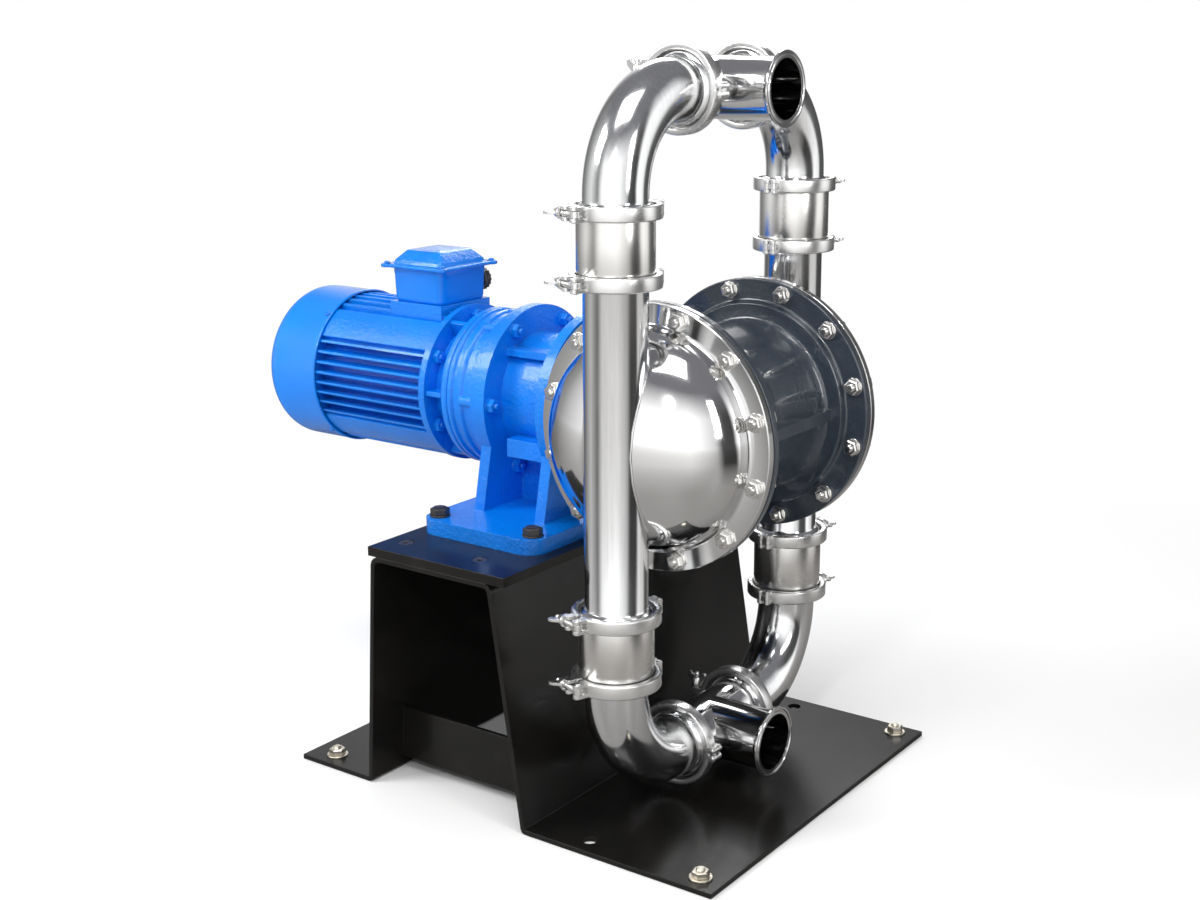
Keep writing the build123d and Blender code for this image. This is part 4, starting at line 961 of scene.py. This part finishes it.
def bodyHalf(mesh, side):
    face = body["face"]
    back = body["back"]
    floorY = face - body["cavityDeep"]
    rim = body["rim"]
    boss = body["boss"]
    outline = [(0, body["rodRoom"]), (floorY, body["rodRoom"]), (floorY, body["cavity"])]
    outline += [(face, body["cavity"]), (face, rim - 0.8), (face - 0.8, rim)]
    outline += [(back + 1.2, rim), (back, rim - 1.2), (back, boss + 4)]
    outline += arc(back - 4, boss + 4, 4.0, 0, -90, 4)
    outline += [(body["bossTop"] + 2.5, boss - 0.4), (body["bossTop"], boss - 2.5)]
    reach = body["bossTop"] - body["waist"]
    depth = body["bowl"] - body["drum"]
    steps = 14
    for step in range(steps + 1):
        turn = math.radians(4 + 86 * step / steps)
        outline.append((body["waist"] + reach * math.cos(turn), body["bowl"] - depth * math.sin(turn)))
    outline.append((0, body["drum"]))
    turned(mesh, outline, (0, 0, axisHeight), (0, side, 0), 96)


# The neck: a bolting flange, a fillet, a straight part and a flare into the drum
def bodyNeck(mesh):
    neck = body["neck"]
    flange = body["neckFlange"]
    thick = body["neckFlangeThick"]
    end = body["neckEnd"] - body["neckStart"]
    flare = body["flareStart"] - body["neckStart"]
    outline = [(0, body["neckBore"]), (0, flange - 1.5), (1.5, flange)]
    outline += [(thick - 1.5, flange), (thick, flange - 1.5), (thick, neck + 10)]
    outline += arc(thick + 10, neck + 10, 10.0, 180, 270)
    outline += [(flare, neck)]
    outline += arc(flare, neck + 60, 60.0, 270, 296)
    outline += [(end, neck + 6), (end, body["neckBore"])]
    turned(mesh, outline, (body["neckStart"], 0, axisHeight), (1, 0, 0), 96)


bodyMesh = bmesh.new()
for side in (-1, 1):
    bodyHalf(bodyMesh, side)
bodyNeck(bodyMesh)
ribEnds = [(body["ribStart"], -1), (body["ribReach"], -1), (body["ribReach"], 1), (body["ribStart"], 1)]
ribFoot = axisHeight - body["ribThick"] / 2
ribCorners = [(along, side * body["ribHalf"], ribFoot) for along, side in ribEnds]
slab(bodyMesh, ribCorners, (0, 0, body["ribThick"]))
finishPiece(bodyMesh, "pumpBody", "stand", "body_paint", ["centre_body"], edge=1.4, steps=3, angle=30)
print("pump body ready")

# Fan cowl: one smooth pressing with a rolled rim, and a grille of rings over the fan
cowl = {
    "wall": 2.0,
    "straight": 74.0,
    "round": 0.85,
    "full": 0.9,
    "short": 7.0,
    "grille": 62.0,
    "rings": 4,
    "wire": 1.7,
    "bar": 5.0,
    "boss": 9.0,
}
cowlLow, cowlHigh = boxOf("fan_cowl")
cowlRadius = cowlHigh.z - axisHeight
cowlLength = cowlHigh.x - cowlLow.x - cowl["short"]
cowlDome = cowlLength - cowl["straight"]
cowlPlace = (cowlHigh.x, 0, axisHeight)


def cowlWall(shrink, steps=22):
    outline = []
    for step in range(steps + 1):
        turn = math.radians(90 * step / steps)
        along = cowl["straight"] + (cowlDome - shrink) * math.sin(turn) ** cowl["full"]
        radius = (cowlRadius - shrink) * max(math.cos(turn), 0) ** cowl["round"]
        if radius > cowl["grille"]:
            outline.append((along, radius))
    outline.append((cowlLength - shrink - 0.6, cowl["grille"]))
    return outline


cowlMesh = bmesh.new()
skin = 0.7  # the outer wall keeps this much inside the CAD's cowl
rimRoll = arc(2.0, cowlRadius - 1.8, 1.8, 180, 90, 5) + [(4.5, cowlRadius - skin)]
cowlOutline = [(0, cowlRadius - cowl["wall"] - 1)] + rimRoll + cowlWall(skin)
cowlOutline += list(reversed(cowlWall(cowl["wall"] + skin)))
turned(cowlMesh, cowlOutline, cowlPlace, (-1, 0, 0), 96)
grilleX = cowlLength - 1.8
for number in range(cowl["rings"]):
    radius = cowl["grille"] * (number + 1) / cowl["rings"] - 1.5
    turned(cowlMesh, arc(grilleX, radius, cowl["wire"], 0, 330, 11), cowlPlace, (-1, 0, 0), 64)
boss = cowl["boss"]
bossOutline = [(grilleX - 1.5, 0), (grilleX - 1.5, boss), (grilleX + 1.0, boss - 1), (grilleX + 1.4, 0)]
turned(cowlMesh, bossOutline, cowlPlace, (-1, 0, 0), 32)
for turn in (45, 135, 225, 315):
    frameOfBar = about((cowlHigh.x - grilleX, 0, axisHeight), turn, "X")
    bar(cowlMesh, (-1.2, -cowl["bar"] / 2, 5), (1.0, cowl["bar"] / 2, cowl["grille"] + 2), frameOfBar)
finishPiece(
    cowlMesh, "fanCowl", "stand", "blue_paint", ["fan_cowl"], edge=0.3, steps=1, angle=50, look="sheetBlue"
)
print("fan cowl ready")

# Terminal box with drafted walls and rounded corners, and a lid with four ears
junction = {"inset": 5.0, "wall": 4.0, "floor": 5.0}
junctionLid = {"over": 6.0, "rim": 5.0, "ear": 8.5, "top": 17.0, "step": 4.0}
boxLow, boxHigh = boxOf("terminal_box")
lidLow, lidHigh = boxOf("terminal_lid")
boxMiddle = ((boxLow.x + boxHigh.x) / 2, 0)
boxSize = (boxHigh.x - boxLow.x - junction["inset"], boxHigh.y - boxLow.y - junction["inset"])
boxTop = boxHigh.z
boxMesh = bmesh.new()
levels = [(-1.5, 9, boxLow.z), (-0.4, 10, boxLow.z + 1.6), (0.4, 10.5, boxLow.z + 6)]
levels += [(1.6, 11, boxTop - 10), (2.4, 12, boxTop - 7.5), (2.5, 12, boxTop - 0.5), (1.8, 11.5, boxTop)]
levels += [(-junction["wall"], 7, boxTop), (-junction["wall"], 7, boxLow.z + junction["floor"])]
stacked(boxMesh, boxMiddle, boxSize, levels)
finishPiece(
    boxMesh, "terminalBox", "stand", "blue_paint", ["terminal_box"], edge=0.8, angle=40, look="sheetBlue"
)

lidMesh = bmesh.new()
rimTop = lidLow.z + junctionLid["rim"]
stepTop = rimTop + junctionLid["step"]
top = junctionLid["top"]
lidSize = (boxSize[0] + junctionLid["over"], boxSize[1] + junctionLid["over"])
levels = [(7.2, 14, lidLow.z), (8.6, 15, lidLow.z + 1.2), (8.6, 15, rimTop - 1.4), (7.2, 14, rimTop)]
levels += [(-1.2, 9, rimTop), (-2.0, 8.5, rimTop + 1.2), (-2.6, 8, stepTop), (-4.0, 7.5, stepTop + 1.6)]
levels += [(1.6 - top, 4, lidHigh.z - 1.0), (-top, 3, lidHigh.z)]
stacked(lidMesh, boxMiddle, lidSize, levels)
ear = junctionLid["ear"]
earX = lidHigh.x - boxMiddle[0] - ear - 0.4
earY = lidHigh.y - ear - 0.4
earSpots = [(boxMiddle[0] + sideX * earX, sideY * earY) for sideX in (-1, 1) for sideY in (-1, 1)]
earTop = junctionLid["rim"]
earOutline = [(0, 0), (0, ear - 0.8), (0.8, ear), (earTop - 1, ear), (earTop, ear - 1.3), (earTop, 0)]
for spot in earSpots:
    turned(lidMesh, earOutline, (*spot, lidLow.z), steps=28)
finishPiece(lidMesh, "terminalLid", "stand", "blue_paint", ["terminal_lid"], edge=0.7)
print("terminal box ready")

# Painted screws of the lid and of the cowl's rim
coverScrew = {"washer": 4.6, "head": 3.8, "high": 3.0, "drive": 1.2}
cowlScrew = {"turns": (40, 140, 220, 320), "back": 8.0}
coverScrewMesh = bmesh.new()
head = coverScrew["head"]
high = coverScrew["high"]
washer = coverScrew["washer"]
drive = coverScrew["drive"]
headOutline = [(0, 0), (0, washer), (0.8, washer), (0.8, head), (high - 0.8, head - 0.1)]
headOutline += [(high, head - 1), (high, drive + 0.2), (high - 1, drive), (high - 1, 0)]
for spot in earSpots:
    turned(coverScrewMesh, headOutline, (*spot, rimTop), steps=24)
for turn in cowlScrew["turns"]:
    aim = Vector((0, -math.sin(math.radians(turn)), math.cos(math.radians(turn))))
    place = Vector((cowlHigh.x - cowlScrew["back"], 0, axisHeight)) + aim * (cowlRadius - 1.0)
    turned(coverScrewMesh, headOutline, place, aim, 24)
finishPiece(coverScrewMesh, "coverScrews", "stand", "blue_paint", ["lid_screws"], edge=0.2, steps=1)

# Cable gland: hexagon, ribbed dome nut and a blank seal
gland = {"thread": 13.0, "inside": 5.0, "hexagon": 16.4, "thick": 6.2, "nut": 15.2, "mouth": 9.4, "ribs": 16}
glandLow, glandHigh = boxOf("cable_gland")
glandPlace = Vector(((glandLow.x + glandHigh.x) / 2, boxHigh.y, (glandLow.z + glandHigh.z) / 2))
glandEnd = glandHigh.y - boxHigh.y
glandMesh = bmesh.new()
thread = gland["thread"]
inside = -gland["inside"]
turned(glandMesh, [(inside, 0), (inside, thread), (0, thread), (0, 0)], glandPlace, (0, 1, 0), 32)
corner = gland["hexagon"]
thick = gland["thick"]
hexagonOutline = [(0, 0), (0, corner - 2.2), (0.8, corner)]
hexagonOutline += [(thick - 0.8, corner), (thick, corner - 2.2), (thick, 0)]
turned(glandMesh, hexagonOutline, glandPlace, (0, 1, 0), 6)
mouth = gland["mouth"]
nutOutline = [(thick - 0.2, 0), (thick - 0.2, gland["nut"] - 0.8), (thick + 0.6, gland["nut"]), (12.0, 15.0)]
nutOutline += [(15.0, 12.6), (glandEnd, mouth), (glandEnd, mouth - 1.8), (15.2, 7.2), (15.2, 0)]
turned(glandMesh, nutOutline, glandPlace, (0, 1, 0), 40)
for number in range(gland["ribs"]):
    frameOfRib = about(glandPlace, number * 360 / gland["ribs"], "Y")
    bar(glandMesh, (-1.2, 7.0, 14.2), (1.2, 12.4, 16.0), frameOfRib)
finishPiece(glandMesh, "cableGland", "stand", "black_plastic", ["cable_gland"], edge=0.5)
print("cover screws and gland ready")

# Ring gear case: turned with a groove and a rim, with round lugs and two plugs on top
gearCase = {
    "outer": 107.0,
    "rim": 112.0,
    "groove": 103.6,
    "waist": 103.0,
    "bore": 88.0,
    "length": 58.0,
    "waistStart": 30.0,
    "waistEnd": 38.0,
    "lugs": 6,
    "lugStart": 22.0,
    "lugEnd": 45.0,
}
caseLow = boxOf("ring_gear_case")[0]
outer = gearCase["outer"]
groove = gearCase["groove"]
waist = gearCase["waist"]
end = gearCase["length"]
rim = gearCase["rim"]
outline = [(0, gearCase["bore"]), (0, outer - 2.0), (1.4, outer - 0.4), (6.5, outer), (8.2, outer - 1.6)]
outline += [(9.4, groove), (15.5, groove), (16.8, outer - 1.6), (18.4, outer), (23.0, outer)]
outline += [(24.6, outer - 0.8), (26.6, groove)]
outline += [(gearCase["waistStart"], waist), (gearCase["waistEnd"], waist)]
outline += arc(gearCase["waistEnd"], waist + 6, 6.0, 270, 340, 5)
outline += [(45.4, rim), (end - 1.2, rim), (end, rim - 1.2), (end, gearCase["bore"])]
caseMesh = bmesh.new()
turned(caseMesh, outline, (caseLow.x, 0, axisHeight), (1, 0, 0), 96)
low = gearCase["lugStart"]
high = gearCase["lugEnd"]
lugOutline = [(low, 0), (low, 5.0), (low + 0.8, 6.2), (low + 2.6, 6.8), (high, 7.2), (high, 0)]
for number in range(gearCase["lugs"]):
    turn = math.radians(number * 360 / gearCase["lugs"])
    place = (caseLow.x, waist * math.cos(turn), axisHeight + waist * math.sin(turn))
    turned(caseMesh, lugOutline, place, (1, 0, 0), 24)
hexagonPlug = [(-3, 0), (-3, 6.5), (4.5, 6.0), (5.0, 5.0), (5.0, 0)]
roundPlug = [(-3, 0), (-3, 5), (4.6, 4.6), (4.6, 0)]
for along, plug, sides in ((30.0, hexagonPlug, 6), (12.0, roundPlug, 20)):
    turned(caseMesh, plug, (caseLow.x + along, 12.0 - along / 2, axisHeight + waist), (0, 0, 1), sides)
finishPiece(caseMesh, "ringGearCase", "stand", "blue_paint", ["ring_gear_case"], edge=0.8)
print("ring gear case ready")

# Input housing: an open neck with webs between the motor's flange and the gear case
inputHousing = {
    "neck": 83.5,
    "neckEnd": 9.0,
    "flare": 15.0,
    "flange": 107.0,
    "webs": 6,
    "web": 7.0,
    "webReach": 104.5,
    "webEnd": 26.0,
    "webTurn": 59.0,
    "bore": 55.0,
}
inputLow, inputHigh = boxOf("input_housing")
inputLength = inputHigh.x - inputLow.x
neck = inputHousing["neck"]
flange = inputHousing["flange"]
outline = [(0, inputHousing["bore"]), (0, neck), (inputHousing["neckEnd"], neck)]
outline += arc(inputHousing["neckEnd"], neck + inputHousing["flare"], inputHousing["flare"], 285, 358, 7)
outline += [(25.5, flange - 5.0), (27.0, flange - 2.0), (29.5, flange - 0.4), (31.0, flange)]
outline += [(inputLength - 1.2, flange), (inputLength, flange - 1.2), (inputLength, inputHousing["bore"])]
inputMesh = bmesh.new()
turned(inputMesh, outline, (inputLow.x, 0, axisHeight), (1, 0, 0), 96)
halfWeb = inputHousing["web"] / 2
for number in range(inputHousing["webs"]):
    turn = number * 360 / inputHousing["webs"] + inputHousing["webTurn"]
    tip = (inputHousing["webEnd"], inputHousing["webReach"], halfWeb)
    bar(inputMesh, (0, neck - 5.5, -halfWeb), tip, about((inputLow.x, 0, axisHeight), turn, "X"))
finishPiece(inputMesh, "inputHousing", "stand", "blue_paint", ["input_housing"], edge=1.0)
print("input housing ready")

# Nuts of the reducer, painted over, with their stud ends
gearNuts = {"count": 6, "circle": 105.0, "innerCircle": 93.0, "innerTurn": 29.0, "seat": 9.0}
outerNut = {"flats": 17.0, "height": 8.4, "washer": 10.6, "washerThick": 1.4, "stud": 4.6}
innerNut = {"flats": 17.0, "height": 8.0, "stud": 4.6}
gearLow, gearHigh = boxOf("reducer_bolts")
nutMesh = bmesh.new()
for number in range(gearNuts["count"]):
    step = number * 360 / gearNuts["count"]
    for turn, circle, seatX, nut, studOut in (
        (step, gearNuts["circle"], gearHigh.x - gearNuts["seat"], outerNut, 4.0),
        (step + gearNuts["innerTurn"], gearNuts["innerCircle"], gearLow.x, innerNut, 2.0),
    ):
        aim = Vector((0, math.cos(math.radians(turn)), math.sin(math.radians(turn))))
        nutOnFace(nutMesh, Vector((seatX, 0, axisHeight)) + aim * circle, (1, 0, 0), nut, studOut)
finishPiece(nutMesh, "reducerNuts", "stand", "blue_paint", ["reducer_bolts"], edge=0.4)
print("reducer nuts ready")

# Camera at the photograph's place
cameraLook = {
    "azimuth": 35.08,
    "elevation": 11.93,
    "place": (1.1031, -1.7419, 0.9660),
    "sensor": 36,
    "lens": 50.50,
    "shiftX": -0.0263,
    "shiftY": -0.0598,
    "farthest": 50,
}
azimuth = math.radians(cameraLook["azimuth"])
elevation = math.radians(cameraLook["elevation"])
flat = math.cos(elevation)
back = Vector((math.sin(azimuth) * flat, -math.cos(azimuth) * flat, math.sin(elevation)))
right = Vector((math.cos(azimuth), math.sin(azimuth), 0))
turn = Matrix((right, back.cross(right), back)).transposed().to_4x4()
cameraData = bpy.data.cameras.new("camera")
cameraData.sensor_width = cameraLook["sensor"]
cameraData.lens = cameraLook["lens"]
cameraData.shift_x = cameraLook["shiftX"]
cameraData.shift_y = cameraLook["shiftY"]
cameraData.clip_end = cameraLook["farthest"]
camera = linked("camera", cameraData)
camera.matrix_world = Matrix.Translation(cameraLook["place"]) @ turn
bpy.context.scene.camera = camera
bpy.context.scene.view_settings.view_transform = "Standard"
print("camera ready")


class WorldTree(Finish):
    def __init__(self, name):
        self.material = bpy.data.worlds.new(name)
        self.material.use_nodes = True
        self.tree = self.material.node_tree
        self.shader = self.tree.nodes["Background"]


# Studio: its light on the object, its level in reflections, and its sides by heading
studio = {
    "fill": 0.46,
    "bright": 1.75,
    "overhead": (0.13, 0.13, 0.14),
    "sides": [
        (0.00, 0.22),
        (0.09, 0.60),
        (0.17, 0.16),
        (0.215, 0.80),
        (0.35, 0.95),
        (0.44, 0.50),
        (0.47, 0.05),
        (0.54, 0.04),
        (0.565, 0.85),
        (0.635, 0.70),
        (0.66, 0.07),
        (0.80, 0.05),
        (0.86, 0.55),
        (0.93, 0.10),
        (1.00, 0.22),
    ],
}


# Bright and dark sides of the studio round the object, seen along a heading
def studioSides(finish, heading):
    turn = finish.axis(heading, 1).maths("ARCTAN2", finish.axis(heading, 0))
    stops = [(place, (level, level, level)) for place, level in studio["sides"]]
    return finish.node("ShaderNodeValToRGB", {"stops": stops}, {0: finish.span(turn, -math.pi, math.pi)})


# World: white to the camera, soft on the object, and the studio's sides in reflections
world = WorldTree("studio")
bpy.context.scene.world = world.material
heading = world.node("ShaderNodeTexCoord")
upward = world.span(world.axis(heading, 2), 0.35, 0.7)
reflected = world.mix(upward, studioSides(world, heading), studio["overhead"])
toCamera, mirrored = world.rays()
either = toCamera.maths("MAXIMUM", mirrored)
world.fill(world.shader.inputs["Color"], world.mix(mirrored, (1, 1, 1), reflected))
strength = toCamera + mirrored * studio["bright"] + (1 - either) * studio["fill"]
world.fill(world.shader.inputs["Strength"], strength)

# Floor: pale, fading to pure white beyond the object's shadow; in mirrors it is darker and glows with the
# studio's bright and dark sides, a painted reflection
floorLook = {
    "radius": 9,
    "drop": 0.0006,
    "shade": ((0.88, 0.88, 0.88), (0.9, 0.9, 0.895)),
    "inMirror": (0.26, 0.25, 0.24),
    "nearGlow": (0.85, 0.83, 0.81),
    "farGlow": (1.75, 1.75, 1.75),
    "fade": (0.85, 1.7),
    "mirrorFade": (0.7, 1.6),
    "glowFade": (0.8, 6.0),
}
floorMesh = bmesh.new()
bmesh.ops.create_circle(floorMesh, cap_ends=True, segments=96, radius=floorLook["radius"])
bmesh.ops.translate(floorMesh, verts=floorMesh.verts, vec=(0, 0, -floorLook["drop"]))
floorData = bpy.data.meshes.new("floor")
floorMesh.to_mesh(floorData)
floorMesh.free()
floor = linked("floor", floorData)
pale = Finish("paleFloor")
floorShade = pale.mix(pale.noise(1.2, 2), *floorLook["shade"])
seenDirectly, inMirror = pale.rays()
pale.set(Base_Color=pale.mix(inMirror, floorShade, floorLook["inMirror"]), Roughness=0.5)
floorPlace = pale.node("ShaderNodeTexCoord", out=3)
fromMiddle = pale.node("ShaderNodeVectorMath", {"operation": "LENGTH"}, {0: floorPlace}, out=1)
cameraFade = pale.span(fromMiddle, *floorLook["fade"]) * seenDirectly
fade = cameraFade + pale.span(fromMiddle, *floorLook["mirrorFade"]) * inMirror
# Painted reflection: in mirrored rays the floor glows with the studio's bright and dark sides, brighter
# farther out
glowLevel = pale.span(fromMiddle, *floorLook["glowFade"])
mirrorLevel = pale.mix(glowLevel, floorLook["nearGlow"], floorLook["farGlow"])
mirrorShade = pale.mix(1.0, studioSides(pale, floorPlace), mirrorLevel, "MULTIPLY")
glowColour = pale.mix(inMirror, (1, 1, 1), mirrorShade)
glow = pale.node("ShaderNodeEmission", None, {"Color": glowColour})
surface = Value(pale, pale.shader.outputs[0])
floorMix = pale.node("ShaderNodeMixShader", None, {0: fade, 1: surface, 2: glow})
pale.fill(pale.tree.nodes["Material Output"].inputs["Surface"], floorMix)
floor.data.materials.append(pale.material)
print("world and floor ready")

# Lamps: place, size and power in watts, all aimed at the middle of the pump
middle = Vector((-0.2, 0, 0.45))
lamps = {
    "key": ((-1.9, -1.9, 2.3), (1.1, 1.1), 50),
    "top": ((0.2, -0.9, 3.1), (1.6, 1.2), 40),
    "fill": ((2.6, -0.8, 1.5), (0.5, 1.6), 18),
    "rim": ((-1.4, 2.2, 2.2), (1.4, 1.0), 36),
    "spark": ((0.7, -2.3, 1.9), (0.16, 0.16), 16),
}
for name, (place, size, power) in lamps.items():
    lampData = bpy.data.lights.new(name, "AREA")
    lampData.shape = "RECTANGLE"
    lampData.size, lampData.size_y = size
    lampData.energy = power
    lamp = linked(name, lampData)
    lamp.location = place
    lamp.rotation_euler = (Vector(place) - middle).to_track_quat("Z", "Y").to_euler()
print("lamps ready")
